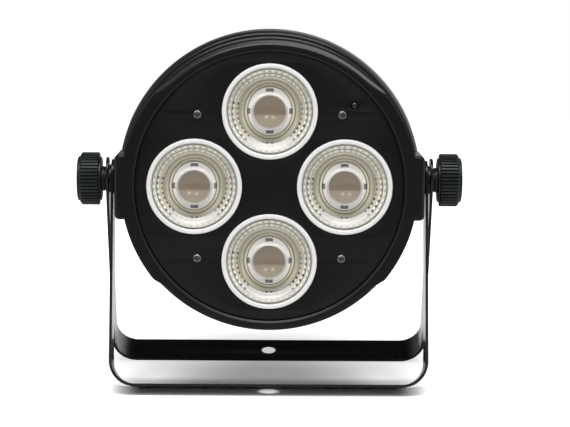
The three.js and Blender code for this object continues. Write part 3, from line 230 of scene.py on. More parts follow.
class Link:
    """One output of a node. Arithmetic on it adds Math nodes."""

    def __init__(self, finish, socket):
        self.finish = finish
        self.socket = socket

    def __add__(self, other):
        return self.finish.math("ADD", self, other)

    __radd__ = __add__

    def __sub__(self, other):
        return self.finish.math("SUBTRACT", self, other)

    def __rsub__(self, other):
        return self.finish.math("SUBTRACT", other, self)

    def __mul__(self, other):
        return self.finish.math("MULTIPLY", self, other)

    __rmul__ = __mul__

    def __truediv__(self, other):
        return self.finish.math("DIVIDE", self, other)

    def __rtruediv__(self, other):
        return self.finish.math("DIVIDE", other, self)

    def __abs__(self):
        return self.finish.math("ABSOLUTE", self)


class Finish:
    """A material, or a world, under construction. Its lengths are in mm."""

    def __init__(self, name, kind="materials"):
        self.owner = getattr(bpy.data, kind).new(name)
        self.owner.use_nodes = True
        self.tree = self.owner.node_tree
        self.tree.nodes.clear()

    def node(self, kind, choices=None, values=None, output=0):
        node = self.tree.nodes.new("ShaderNode" + kind)
        for name, value in (choices or {}).items():
            if name == "stops":
                self.set_stops(node.color_ramp, value)
            else:
                setattr(node, name, value)
        for name, value in (values or {}).items():
            socket = self.socket_of(node.inputs, name)
            if isinstance(value, Link):
                self.tree.links.new(value.socket, socket)
            else:
                socket.default_value = value
        if node.outputs:
            return Link(self, self.socket_of(node.outputs, output))

    @staticmethod
    def socket_of(sockets, key):
        """A socket by its identifier, or else by its name or number."""
        known = {socket.identifier: socket for socket in sockets}
        return known[key] if key in known else sockets[key]

    @staticmethod
    def set_stops(ramp, stops):
        while len(ramp.elements) < len(stops):
            ramp.elements.new(1.0)
        for element, (position, colour) in zip(ramp.elements, stops):
            element.position = position
            element.color = (*colour, 1.0)

    def point(self):
        """Place on the piece, in mm."""
        here = self.node("TexCoord", output="Object")
        return self.node(
            "VectorMath", {"operation": "SCALE"}, {"Vector": here, "Scale": 1 / MM})

    def axes(self, vector=None):
        vector = vector or self.point()
        return [self.node("SeparateXYZ", values={"Vector": vector}, output=i) for i in range(3)]

    def stretched(self, by):
        return self.node(
            "VectorMath", {"operation": "MULTIPLY"}, {0: self.point(), 1: by})

    def noise(self, scale, detail=3.0, rough=0.55, at=None):
        return self.node(
            "TexNoise", values={"Vector": at or self.point(), "Scale": scale,
                                "Detail": detail, "Roughness": rough}, output="Fac")

    def between(self, value, low, high, to_low=0.0, to_high=1.0):
        """Smooth step from one value to another as a number passes from low to high."""
        return self.node(
            "MapRange", {"interpolation_type": "SMOOTHSTEP"},
            {"Value": value, "From Min": low, "From Max": high,
             "To Min": to_low, "To Max": to_high})

    def band(self, value, middle, width, soft=0.15):
        """1 within a band of that width and 0 outside it."""
        away = abs(value - middle)
        return self.between(away, width / 2 - soft, width / 2 + soft, 1.0, 0.0)

    def mix(self, share, first, second):
        colours = {
            "A_Color": first if isinstance(first, Link) else (*first, 1.0),
            "B_Color": second if isinstance(second, Link) else (*second, 1.0),
        }
        return self.node(
            "Mix", {"data_type": "RGBA"}, {"Factor_Float": share, **colours}, "Result_Color")

    def bump(self, height, distance):
        return self.node("Bump", values={
            "Height": height, "Distance": distance * MM, "Strength": 1.0})

    def math(self, operation, *values):
        return self.node("Math", {"operation": operation}, dict(enumerate(values)))

    def spots(self, scale, randomness, **choices):
        """Distance from the nearest of a set of points."""
        return self.node("TexVoronoi", {"feature": "F1", **choices}, {
            "Vector": self.point(), "Scale": scale, "Randomness": randomness}, "Distance")

    def shaded(self, colour, roughness, normal=None, metallic=0.0, **constants):
        values = {
            "Base Color": colour if isinstance(colour, Link) else (*colour, 1.0),
            "Roughness": roughness, "Metallic": metallic,
        }
        if normal:
            values["Normal"] = normal
        for name, value in constants.items():
            values[name.replace("_", " ")] = value
        return self.output(self.node("BsdfPrincipled", values=values))

    def output(self, surface, kind="Material"):
        self.node("Output" + kind, values={"Surface": surface})
        return self.owner


def painted(name, colour, grain, rough, wear=0.25, coat=0.0, shine=0.23):
    """Stove paint: fine orange peel, faint dust and a few light rubs."""
    paint = Finish(name)
    peel = paint.noise(grain, 4.0, 0.6)
    broad = paint.noise(0.035, 3.0, 0.5)
    speck = paint.between(paint.noise(0.9, 2.0, 0.5), 0.66, 0.76)
    rub = paint.between(paint.noise(0.12, 5.0, 0.7), 0.6, 0.74) * speck * wear
    dust = [c * 1.9 + 0.002 for c in colour]
    dusty = paint.mix(paint.between(broad, 0.35, 0.75) * 0.35, colour, dust)
    tint = paint.mix(rub, dusty, (0.045, 0.045, 0.047))
    gloss = paint.between(peel, 0.3, 0.7, rough - 0.05, rough + 0.07)
    constants = {"Specular_IOR_Level": shine}
    if coat:  # only on the broad faces, which look sideways
        facing = paint.node("NewGeometry", output="Normal")
        sideways = abs(paint.node("SeparateXYZ", values={"Vector": facing}))
        constants["Coat_Weight"] = paint.between(sideways, 0.25, 0.55, 0.0, coat)
        constants["Coat_Roughness"] = 0.14
    return paint.shaded(tint, gloss + rub * 0.2, paint.bump(peel, 0.03), **constants)


def housing_paint():
    return painted("housing_paint", tuple(settings().housing.paint), 1.3, 0.33)


def panel_paint():
    return painted("panel_paint", tuple(settings().housing.paint), 1.8, 0.33, 0.15)


def bracket_paint():
    return painted("bracket_paint", tuple(settings().bracket.paint), 1.0, 0.3,
                   wear=0.4, coat=1.0, shine=0.28)


def knob_plastic():
    plastic = Finish("knob_plastic")
    spark = plastic.noise(2.6, 3.0, 0.6)
    smear = plastic.noise(0.09, 4.0, 0.6)
    base = tuple(settings().knob.plastic)
    tint = plastic.mix(plastic.between(smear, 0.4, 0.7), base, [c * 1.7 + 0.003 for c in base])
    gloss = plastic.between(smear, 0.35, 0.7, 0.4, 0.52)
    return plastic.shaded(tint, gloss, plastic.bump(spark, 0.03), Specular_IOR_Level=0.32)


def socket_plastic():
    plastic = Finish("socket_plastic")
    spark = plastic.noise(3.2, 3.0, 0.6)
    smear = plastic.noise(0.12, 3.0, 0.6)
    tint = plastic.mix(smear, (0.010, 0.010, 0.011), (0.022, 0.022, 0.023))
    gloss = plastic.between(smear, 0.3, 0.7, 0.45, 0.6)
    return plastic.shaded(tint, gloss, plastic.bump(spark, 0.04))


def washer_rubber():
    rubber = Finish("washer_rubber")
    grain = rubber.noise(2.0, 5.0, 0.7)
    bloom = rubber.between(rubber.noise(0.2, 4.0, 0.6), 0.45, 0.75)
    tint = rubber.mix(bloom, (0.008, 0.008, 0.008), (0.02, 0.02, 0.019))
    gloss = rubber.between(grain, 0.2, 0.8, 0.75, 0.95)
    return rubber.shaded(tint, gloss, rubber.bump(grain, 0.06))


def white_plastic():
    plastic = Finish("holder_plastic")
    grain = plastic.noise(1.6, 3.0, 0.5)
    cloud = plastic.noise(0.08, 3.0, 0.5)
    base = tuple(settings().lens.holder)
    tint = plastic.mix(plastic.between(cloud, 0.3, 0.7), base, [c * 0.965 for c in base])
    gloss = plastic.between(grain, 0.3, 0.7, 0.24, 0.36)
    return plastic.shaded(tint, gloss, plastic.bump(grain, 0.012))


def brushed_metal(name, dark, light, rough, along):
    """Turned or drawn metal with fine lines along one direction."""
    metal = Finish(name)
    lines = metal.noise(1.0, 4.0, 0.6, metal.stretched(along))
    stain = metal.noise(0.3, 4.0, 0.6)
    tint = metal.mix(metal.between(lines, 0.3, 0.7), dark, light)
    aged = metal.mix(metal.between(stain, 0.55, 0.8) * 0.4, tint, [c * 0.55 for c in dark])
    gloss = metal.between(lines, 0.2, 0.8, rough - 0.06, rough + 0.1)
    return metal.shaded(aged, gloss, metal.bump(lines, 0.02), 1.0)


def circuit_board(name, mask_colour, copper_colour, pad_colour):
    """Solder mask with raised tracks and bright round pads."""
    board = Finish(name)
    cell = board.spots(0.22, 1.0, distance="MANHATTAN")
    tracks = board.between(abs(board.math("SINE", cell * 26.0)), 0.86, 0.95)
    pads = board.between(board.spots(0.3, 0.8), 0.16, 0.2, 1.0, 0.0)
    lines = board.mix(tracks, mask_colour, copper_colour)
    tint = board.mix(pads, lines, pad_colour)
    return board.shaded(tint, 0.45 - pads * 0.15, board.bump(tracks + pads, 0.05))


def phosphor():
    glow = Finish("phosphor")
    grain = glow.noise(2.2, 4.0, 0.6)
    chips = glow.between(glow.spots(0.55, 0.0), 0.25, 0.4, 1.0, 0.0)
    potting = glow.mix(grain, (0.34, 0.29, 0.2), (0.44, 0.38, 0.26))
    tint = glow.mix(chips, potting, (0.62, 0.5, 0.2))
    return glow.shaded(tint, 0.5, glow.bump(chips, 0.1))


def sensor_glass():
    glass = Finish("sensor_glass")
    haze = glass.noise(0.8, 3.0, 0.6)
    tint = glass.mix(haze, (0.004, 0.004, 0.005), (0.012, 0.011, 0.012))
    return glass.shaded(tint, glass.between(haze, 0.3, 0.7, 0.12, 0.2))


def display_glass():
    """Dark window with four unlit seven-bar digits behind it."""
    glass = Finish("display_glass")
    x, _, z = glass.axes()
    haze = glass.noise(0.5, 3.0, 0.6)
    cell = glass.math("PINGPONG", x, 4.5)
    upright = glass.band(cell, 1.7, 0.8) * glass.band(z, 0.0, 9.0) * (1 - glass.band(z, 0.0, 0.9))
    level = glass.math("PINGPONG", z + 4.5, 4.5)
    bars = glass.band(level, 0.0, 1.1) * glass.between(cell, 2.0, 2.3) * glass.band(z, 0.0, 10.2)
    lit = (upright + bars) * glass.band(x, 0.0, 36.0)
    plain = glass.mix(haze, (0.005, 0.005, 0.006), (0.012, 0.012, 0.013))
    tint = glass.mix(lit * 0.6, plain, (0.05, 0.03, 0.03))
    return glass.shaded(tint, glass.between(haze, 0.3, 0.7, 0.08, 0.18), Coat_Weight=0.6)


def lens_plastic():
    """Reflector and crown of a lens. Colours follow the distance from the axis, in mm."""
    lens = Finish("lens_plastic")
    x, _, z = lens.axes()
    across = lens.math("SQRT", x * x + z * z)
    olive, cream_and_glint, beige = (0.30, 0.28, 0.21), (0.97, 0.95, 0.87), (0.58, 0.535, 0.44)
    pale, dusky = (0.74, 0.71, 0.57), (0.34, 0.32, 0.255)
    white, milky = (0.93, 0.92, 0.90), (0.88, 0.865, 0.84)
    # the cream bands are partly the lens's own colour and partly painted glints of the facets
    stops = [
        (12.9, white), (14.2, milky), (16.3, milky), (16.8, dusky), (17.4, dusky), (17.8, pale),
        (18.5, pale), (18.9, olive), (19.4, olive), (19.9, beige), (21.0, beige), (21.3, dusky),
        (21.8, (0.62, 0.58, 0.47)), (22.7, beige), (23.1, (0.78, 0.74, 0.62)),
        (23.5, (0.72, 0.68, 0.57)), (23.9, (0.42, 0.40, 0.32)), (24.3, beige), (24.7, cream_and_glint),
        (25.6, cream_and_glint), (26.0, dusky), (26.6, dusky), (27.0, cream_and_glint), (28.4, cream_and_glint),
    ]
    side, rise = x / (across + 0.01), z / (across + 0.01)
    # the white ring looks narrower at the sides
    squeezed = across + side * side * lens.between(across, 13.5, 15.0) * lens.between(
        across, 19.0, 22.0, 1.6, 0.0)
    rings = lens.node("ValToRGB", {"stops": [(r / 30, c) for r, c in stops]},
                      {"Fac": squeezed / 30}, "Color")
    # painted light: the lower part of the reflector, which the lamp above lights, is painted
    # paler and even
    painted_light_low_zone = lens.between(rise, -0.78, -0.55, 1.0, 0.0) * lens.between(across, 20.9, 21.8)
    lit = lens.mix(painted_light_low_zone * 0.75, rings, (0.62, 0.61, 0.585))
    grain = lens.noise(0.9, 4.0, 0.7)
    fleck = lens.between(grain, 0.5, 0.62) * lens.between(across, 18.4, 19.0) * (1 - painted_light_low_zone)
    speckled = lens.mix(fleck * lens.between(across, 24.2, 24.5, 0.35, 0.1), lit, olive)
    # facets: a tile and a chance for each one round the lens
    cells = settings().lens.cells
    angle = lens.math("ARCTAN2", z, x)
    turn = angle * (cells / (2 * math.pi)) + cells
    tile = lens.between(abs(lens.math("FRACT", turn) - 0.5), 0.2, 0.3, 1.0, 0.0)
    chance = lens.node("TexWhiteNoise", {"noise_dimensions": "1D"},
                       {"W": lens.math("FLOOR", turn)}, "Value")
    beside = lens.between(rise, -0.86, -0.7) * lens.between(rise, 0.2, 0.4, 1.0, 0.0)
    above = lens.between(rise, 0.2, 0.6)
    # painted highlights: in the upper half the cream rows are cut into bright dashes that stand
    # for the facets' glints
    glint_rows = lens.band(across, 27.7, 1.5) + lens.band(across, 25.1, 1.3)
    glint_dashes = lens.mix((1 - tile) * glint_rows * above * lens.between(chance, 0.2, 0.7, 0.45, 0.9),
                    speckled, (0.42, 0.39, 0.32))
    dark_rows = lens.band(across, 25.6, 1.5) + lens.band(across, 22.5, 1.4)
    dashes = dark_rows * tile * beside * lens.between(chance, 0.1, 0.6, 0.6, 0.96)
    few = lens.band(across, 22.0, 0.8) * lens.band(x, 0.0, 9.0) * lens.between(
        rise, -0.9, -0.7, 1.0, 0.0)
    dark = lens.mix(dashes + few * tile, glint_dashes, (0.05, 0.047, 0.042))
    soft_row = lens.band(across, 28.2, 1.5, 0.5) * tile * lens.between(rise, 0.6, 0.85, 0.6, 0.0)
    wave = lens.math("COSINE", angle * cells) * lens.between(rise, -0.45, -0.2, 0.35, 0.0)
    lip = lens.between(across + wave, 28.45, 28.75)
    edged = lens.mix(soft_row, dark, (0.3, 0.3, 0.26))
    rimmed = lens.mix(lip, edged, (0.30, 0.285, 0.235))
    # four rows of ticks on the white ring
    bar = lens.band(across, 14.6, 2.3, 0.2) * (
        lens.band(x, 0.0, 5.4, 0.3) + lens.band(z, 0.0, 4.0, 0.3))
    notches = lens.between(lens.math("PINGPONG", x + z, 0.75), 0.05, 0.16)
    marked = lens.mix(bar * notches * 0.92, rimmed, (0.02, 0.02, 0.022))
    # the crown, with painted reflected light that makes its lower half lighter
    haze = lens.noise(0.12, 2.0, 0.5)
    clear = lens.mix(haze, (0.22, 0.185, 0.14), (0.26, 0.22, 0.17))
    warm = lens.mix(lens.between(across, 1.0, 7.5, 0.5, 0.0), clear, (0.25, 0.175, 0.115))
    crown = lens.mix(lens.between(z, -3.2, -1.6, 1.0, 0.0), warm, (0.345, 0.30, 0.23))
    tint = lens.mix(lens.between(across, 10.5, 12.9), crown, marked)
    gloss = lens.between(grain, 0.3, 0.7, 0.14, 0.2)
    return lens.shaded(tint, gloss, lens.bump(grain * lens.between(across, 11.0, 13.0), 0.012))


# Dark and light colour, roughness, and how the lines are stretched along X, Y and Z
METALS = {
    "zinc_steel": ((0.40, 0.41, 0.42), (0.62, 0.63, 0.64), 0.32, (3, 3, 3)),
    "panel_screw_metal": ((0.018, 0.018, 0.019), (0.26, 0.26, 0.265), 0.34, (1.1, 1.1, 1.1)),
    "dark_metal": ((0.03, 0.031, 0.032), (0.075, 0.077, 0.08), 0.38, (4, 1, 4)),
    "brass": ((0.55, 0.38, 0.13), (0.78, 0.58, 0.25), 0.3, (1, 4, 4)),
    "sink_metal": ((0.5, 0.51, 0.52), (0.68, 0.69, 0.7), 0.42, (0.4, 0.4, 4)),
}
# Colours of the solder mask, the tracks and the pads
BOARDS = {
    "green_board": ((0.012, 0.07, 0.03), (0.03, 0.14, 0.06), (0.6, 0.6, 0.58)),
    "white_board": ((0.78, 0.78, 0.76), (0.7, 0.7, 0.69), (0.55, 0.5, 0.42)),
}
FINISHES = {
    make.__name__: make for make in (
        housing_paint, panel_paint, bracket_paint, knob_plastic, socket_plastic, washer_rubber,
        white_plastic, phosphor, sensor_glass, display_glass, lens_plastic)
}
made = {}

# Looks whose pieces are set in the world's frame, so that their boxes are as tight as the CAD's
LARGE_LOOKS = ("housing_paint", "panel_paint", "bracket_paint")


def finish(name):
    """The material of that name, made when a piece first asks for it."""
    if name not in made:
        if name in METALS:
            made[name] = brushed_metal(name, *METALS[name])
        elif name in BOARDS:
            made[name] = circuit_board(name, *BOARDS[name])
        else:
            made[name] = FINISHES[name]()
    return made[name]


# ---------------------------------------------------------------- meshes, in mm


def loaded(*meshes):
    """An editable mesh that takes the place of the ones given."""
    bm = bmesh.new()
    for mesh in meshes:
        bm.from_mesh(mesh)
        bpy.data.meshes.remove(mesh)
    return bm


def stored(bm):
    """The mesh of an editable one, which is given up."""
    mesh = bpy.data.meshes.new("piece")
    bm.to_mesh(mesh)
    bm.free()
    return mesh


def mesh_of(bm):
    bmesh.ops.recalc_face_normals(bm, faces=bm.faces)
    return stored(bm)


def joined(*meshes):
    return stored(loaded(*meshes))


def moved(mesh, matrix):
    mesh.transform(matrix)
    return mesh


def eased(corners, steps=3):
    """Outline with each corner rounded by the third of its numbers."""
    points = []
    for i, (u, v, radius) in enumerate(corners):
        here = Vector((u, v))
        if radius == 0:
            points.append(here)
            continue
        before = Vector(corners[i - 1][:2]) - here
        after = Vector(corners[(i + 1) % len(corners)][:2]) - here
        doubled = min(before.length, after.length) < TINY
        half = 0 if doubled else before.angle(after) / 2
        if doubled or half > NEARLY_STRAIGHT:
            points.extend([here] * (steps + 1))
            continue
        reach = min(radius / math.tan(half), before.length * 0.49, after.length * 0.49)
        before.normalize()
        after.normalize()
        centre = here + (before + after).normalized() * (reach / math.cos(half))
        start = here + before * reach - centre
        end = here + after * reach - centre
        sweep = math.copysign(math.pi - 2 * half, start.x * end.y - start.y * end.x)
        for k in range(steps + 1):
            spot = start.copy()
            spot.rotate(Matrix.Rotation(sweep * k / steps, 2))
            points.append(centre + spot)
    return points


def revolved(section_at, steps):
    """Body turned about Y. section_at gives the outline of [radius, depth] at an angle."""
    bm = bmesh.new()
    angles = [2 * math.pi * k / steps for k in range(steps)]
    sections = [section_at(angle) for angle in angles]
    rings = []
    for j, (first, on_axis) in enumerate(sections[0]):
        if abs(first) < TINY:
            rings.append([bm.verts.new((0, on_axis * MM, 0))])
            continue
        ring = []
        for angle, section in zip(angles, sections):
            radius, depth = section[j]
            ring.append(bm.verts.new(Vector(
                (radius * math.cos(angle), depth, radius * math.sin(angle))) * MM))
        rings.append(ring)
    for one, two in zip(rings, rings[1:] + rings[:1]):
        if len(one) == 1 and len(two) == 1:
            continue
        for k in range(steps):
            corners = [one[k % len(one)], one[(k + 1) % len(one)],
                       two[(k + 1) % len(two)], two[k % len(two)]]
            bm.faces.new(list(dict.fromkeys(corners)))
    return mesh_of(bm)


def turned(corners, steps=96, ease_steps=3):
    """Round body about Y from corners of radius, depth and rounding."""
    outline = eased(corners, ease_steps)
    return revolved(lambda angle: outline, steps)


def pin(radius, start, end, steps, tip=0):
    """Solid round pin along Y between two depths."""
    return turned([(0, start, 0), (radius, start, 0), (radius, end, tip), (0, end, 0)], steps)


def lofted(loops):
    """Body through closed loops of points, with a flat face at both ends."""
    bm = bmesh.new()
    rings = [[bm.verts.new(Vector(point) * MM) for point in loop] for loop in loops]
    for one, two in zip(rings, rings[1:]):
        for k in range(len(one)):
            after = (k + 1) % len(one)
            bm.faces.new([one[k], one[after], two[after], two[k]])
    for end in (rings[0], rings[-1]):
        bm.faces.new(end)
    return mesh_of(bm)


def block(x, y, z, edge=0.0, segments=2):
    """Box between pairs of mm, with eased edges."""
    bm = bmesh.new()
    bmesh.ops.create_cube(bm, size=1)
    for vertex in bm.verts:
        vertex.co = Vector([
            ends[0] if at < 0 else ends[1] for at, ends in zip(vertex.co, (x, y, z))]) * MM
    if edge:
        bmesh.ops.bevel(bm, geom=bm.edges[:], offset=edge * MM, segments=segments,
                        profile=0.5, affect="EDGES")
    return mesh_of(bm)


def centred(place, length):
    """Ends of a length round its middle."""
    return (place - length / 2, place + length / 2)


def evaluated(holder):
    """Mesh of an object as its modifiers or its curve leave it."""
    bpy.context.scene.collection.objects.link(holder)
    bpy.context.view_layer.update()
    graph = bpy.context.evaluated_depsgraph_get()
    return bpy.data.meshes.new_from_object(holder.evaluated_get(graph))


def carved(mesh, tool, operation="DIFFERENCE"):
    """The mesh after a tool has been taken away from it or joined to it."""
    body = bpy.data.objects.new("body", mesh)
    cutter = bpy.data.objects.new("cutter", tool)
    bpy.context.scene.collection.objects.link(cutter)
    change = body.modifiers.new("carve", "BOOLEAN")
    change.operation = operation
    change.solver = "EXACT"
    change.object = cutter
    result = evaluated(body)
    for holder in (body, cutter):
        used = holder.data
        bpy.data.objects.remove(holder)
        bpy.data.meshes.remove(used)
    return result


def circle(x, z, radius, steps=48):
    return [(x + radius * math.cos(2 * math.pi * k / steps),
             z + radius * math.sin(2 * math.pi * k / steps)) for k in range(steps)]


def rectangle(x, z, width, height, corner=0.6, steps=4):
    """Outline of a rounded rectangle round its middle."""
    (left, right), (foot, top) = centred(x, width), centred(z, height)
    corners = ((left, foot), (right, foot), (right, top), (left, top))
    return [tuple(point) for point in eased([(*place, corner) for place in corners], steps)]


def mesh_of_curve(curve):
    """Closed mesh of a curve, with the seams of its caps and faces merged."""
    holder = bpy.data.objects.new("curve", curve)
    mesh = evaluated(holder)
    bpy.data.objects.remove(holder)
    bpy.data.curves.remove(curve)
    bm = loaded(mesh)
    bmesh.ops.remove_doubles(bm, verts=bm.verts, dist=0.002 * MM)
    return mesh_of(bm)


def add_line(curve, points, cyclic=False):
    """Adds straight pieces through points in mm to a curve."""
    spline = curve.splines.new("POLY")
    spline.points.add(len(points) - 1)
    spline.use_cyclic_u = cyclic
    for point, (u, v) in zip(spline.points, points):
        point.co = (u * MM, v * MM, 0, 1)


def plate(depth, edge, outline, *holes):
    """Flat plate across X and Z between two depths, with rounded edges all round."""
    curve = bpy.data.curves.new("plate", "CURVE")
    curve.dimensions = "2D"
    curve.fill_mode = "BOTH"
    curve.extrude = ((depth[1] - depth[0]) / 2 - edge) * MM
    curve.bevel_depth = edge * MM
    curve.bevel_resolution = 2
    curve.offset = -edge * MM
    for loop in (outline, *[list(reversed(hole)) for hole in holes]):
        add_line(curve, loop, True)
    upright = moved_by(0, sum(depth) / 2, 0) @ Matrix.Rotation(math.radians(90), 4, "X")
    return moved(mesh_of_curve(curve), upright)


def add_piece(name, mesh, place, look, nodes, sharp=32):
    """Puts a finished mesh in the scene in place of its CAD nodes."""
    mesh.name = name
    if look in LARGE_LOOKS:
        mesh.transform(place)
        place = Matrix.Identity(4)
    mesh.shade_smooth()
    mesh.set_sharp_from_angle(angle=math.radians(sharp))
    if not mesh.materials:
        mesh.materials.append(finish(look))
    piece = bpy.data.objects.new(name, mesh)
    bpy.context.scene.collection.objects.link(piece)
    piece.matrix_world = place
    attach(piece, NODE_BODY[nodes[0]])
    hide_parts(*nodes)


def dress(node, look):
    """Gives a carried-over CAD node its finish."""
    mesh = frame["nodes"][node].data
    mesh.materials.clear()
    mesh.materials.append(finish(look))


# ---------------------------------------------------------------- the head


# Cut-back of the housing's top and bottom: degrees from the side, then mm of depth
CUT_START, CUT_RUN = 38.8, 11
CUT_AT_FACE, CUT_AT_STEP, CUT_AT_RIM = 3.8, 1.9, 1.2
FRONT_DEPTH, RIM_WIDTH = 30.5, 2.4

# Pivot pads of the housing, in mm
PAD_HEIGHT, PAD_DEPTH, PAD_BORE = 45, 8.9, 6.3
PAD_EDGE, PAD_CORNER, PAD_DROP = 3.6, 0.5, 0.5

# Walls and notches of the housings, in mm
WALL = 2.5
SCREW_INSET = 11.5
NOTCH_DEPTH, BACKING = 9.2, 3.8
NOTCH_SPAN, BACKING_SPAN = (-23.3, 22.3), (-24.5, 24.5)
VENT_SPACING = 13  # degrees


def cutback_share(angle):
    """How far the housing's top and bottom are cut back at an angle, from 0 to 1."""
    from_side = math.degrees(abs(math.asin(max(-1.0, min(1.0, math.sin(angle))))))
    short = 1 - max(0.0, min(1.0, (from_side - CUT_START) / CUT_RUN))
    return 1 - short * short


def housing_section(angle, face, end, radius, edge):
    """Section of the front housing at one angle: lip, outer wall, rim and inner wall."""
    share = cutback_share(angle)
    at_face, at_rim = radius - CUT_AT_FACE * share, radius - CUT_AT_RIM * share
    rim = end - RIM_WIDTH
    lip, ledge = radius - 9.5, face + 5.8
    seat = radius - 4.5
    return eased([
        (lip, face + 1.0, 0.1),
        (lip + 1.5, face, 0.15),
        (at_face - 1.0, face, edge / 6),
        (at_face, face + 0.65, edge / 6),
        (radius - CUT_AT_STEP * share, rim - 2.2, 0.3),
        (at_rim, rim - 0.8, 0.1),
        (radius, rim, 0.3),
        (radius, end, 0.5),
        (seat, end, 0.3),
        (seat, end - 5.3, 0.3),
        (radius - 2.8 * share - WALL, ledge + 13.7, 0),
        (radius - 4.4 * share - WALL, ledge + 2.7, 0),
        (lip - 4.5, ledge + 2.7, 0.2),
        (lip - 4.5, ledge, 0.2),
        (lip, ledge, 0.2),
    ], 4)


def pivot_pad(sign, face, behind, outer, steps=8):
    """Rounded block that carries one pivot. It bulges from a rounded rectangle."""
    quarter = [math.pi / 2 * k / steps for k in range(steps + 1)]
    levels = [(outer - PAD_DEPTH, PAD_EDGE)] + [
        (outer - PAD_EDGE + PAD_EDGE * math.sin(a), PAD_EDGE * math.cos(a)) for a in quarter]
    loops = []
    for x, grow in levels:
        shrink = PAD_EDGE - grow
        outline = rectangle((face + behind) / 2, -PAD_DROP, behind - face - 2 * shrink,
                            PAD_HEIGHT - 2 * shrink, PAD_CORNER + grow * 0.45, 6)
        loops.append([(x * sign, y, z) for y, z in outline])
    return lofted(loops)


class WASH_OT_front_housing(bpy.types.Operator):
    """Build the round front housing with its cut-back top and its two pivot pads"""
    bl_idname = "wash.front_housing"
    bl_label = "Front housing"

    def execute(self, context):
        low, high = extent("front_housing", HEAD)
        face, radius = low.y, (high.z - low.z) / 2
        end = face + FRONT_DEPTH
        edge = settings().housing.edge / MM
        shell = revolved(lambda a: housing_section(a, face, end, radius, edge), 360)
        for sign in BOTH:
            pad = pivot_pad(sign, face, high.y, high.x)
            bore = moved(pin(PAD_BORE, high.x - 12, high.x + 3, 48),
                         Matrix.Rotation(LOWERED * sign, 4, "Z"))
            shell = carved(carved(shell, pad, "UNION"), bore)
        add_piece("front_housing_shell", shell, HEAD, "housing_paint",
                  ["front_housing"])
        return {"FINISHED"}


def vent_tools(radial, depth, width, count):
    """Cutters for the vents, fanned round the top and the bottom."""
    slots = []
    for start in (90, 270):
        for k in range(count):
            turn = math.radians(start + (k - (count - 1) / 2) * VENT_SPACING)
            slot = block(radial, depth, centred(0, width), 1.2)
            slots.append(moved(slot, Matrix.Rotation(-turn, 4, "Y")))
    return joined(*slots)


class WASH_OT_rear_housing(bpy.types.Operator):
    """Build the rear housing with its band, sloping shoulder, vents and pad notches"""
    bl_idname = "wash.rear_housing"
    bl_label = "Rear housing"

    def execute(self, context):
        low, high = extent("rear_housing", HEAD)
        outer = (high.z - low.z) / 2
        front, back = low.y, high.y
        seam = front + 5.0
        band, band_end = seam + 8.5, seam + 26.0
        shoulder = (outer - 9, band_end + 19.7)
        rim = outer - 17
        sink_back = seam + 1.0
        shell = turned([
            (outer - 12.3, front, 0.2), (outer - 9.8, front, 0.2), (outer - 9.8, seam, 0),
            (outer - 7, seam, 0.5), (outer - 7, band, 0), (outer - 3.6, band, 0.15),
            (outer - 2.7, band + 0.6, 0.2), (outer - 1.1, band + 5.4, 1.2),
            (outer - 0.04, band_end, 1.6), (outer - 1.7, band_end + 1.7, 1.2),
            (*shoulder, 2.5), (rim, back, 3.0), (rim - 6.7, back, 0.4),
            (rim - 6.7, back - 2.8, 0), (rim - 16, back - 2.8, 0.3),
            (rim - 16, back - 5.5, 0.3), (rim - 2, back - 5.5, 0),
            (shoulder[0] - WALL, shoulder[1] - WALL, 0), (outer - 4.2, band_end, 0),
            (outer - 4.7, band + WALL, 0), (outer - 9.8, band + WALL, 0),
            (outer - 9.8, sink_back + 2.2, 0), (outer - 15.5, sink_back + 2.2, 0),
            (outer - 15.5, sink_back, 0), (outer - 12.3, sink_back, 0),
        ], 288)
        _, pad = extent("front_housing", HEAD)
        notch, behind = pad.x - NOTCH_DEPTH, pad.y + SEAT
        backing = notch - BACKING
        space = []
        for sign in BOTH:
            for near, far, depth in ((backing, notch, (sink_back, behind + WALL)),
                                     (backing + 1, outer - 3.2, (behind, behind + WALL))):
                wall = block(sorted((sign * near, sign * far)), depth, BACKING_SPAN)
                shell = carved(shell, wall, "UNION")
            space.append(block(sorted((sign * notch, sign * (outer + 2))),
                               (seam - 2.3, behind), NOTCH_SPAN, 0.6))
        chosen = settings().housing
        middle = (band_end + 1.7 + shoulder[1]) / 2
        space.append(vent_tools((shoulder[0] - 8, outer + 2), centred(middle, 13),
                                chosen.vent_width / MM, chosen.vents))
        reach = (rim - SCREW_INSET) * math.sqrt(0.5)
        for sx in BOTH:
            for sz in BOTH:
                hole = pin(SCREW_HOLE, back - 8, back, 24)
                space.append(moved(hole, moved_by(sx * reach, 0, sz * reach)))
        shell = carved(shell, joined(*space))
        add_piece("rear_housing_shell", shell, HEAD, "housing_paint",
                  ["rear_housing"])
        return {"FINISHED"}


def lens_places():
    """Name of each lens and its centre across the head, in mm."""
    return [(name, centre_of("lens_holder_" + name)) for name in LENSES]


class WASH_OT_front_panel(bpy.types.Operator):
    """Build the recessed front panel with its lens, screw and sensor holes"""
    bl_idname = "wash.front_panel"
    bl_label = "Front panel"

    def execute(self, context):
        low, high = extent("front_panel", HEAD)
        lens_hole = radius_of("lens_holder_top") + SEAT
        panel = plate((low.y, high.y), 0.35, circle(0, 0, radius_of("front_panel"), 256),
                      *[circle(*place, lens_hole, 128) for _, place in lens_places()],
                      *[circle(*centre_of(screw), SCREW_HOLE, 24)
                        for screw in numbered("panel_screw")],
                      circle(*centre_of("sensor_window"), SENSOR_HOLE, 32))
        add_piece("front_panel_plate", panel, HEAD, "panel_paint", ["front_panel"])
        return {"FINISHED"}


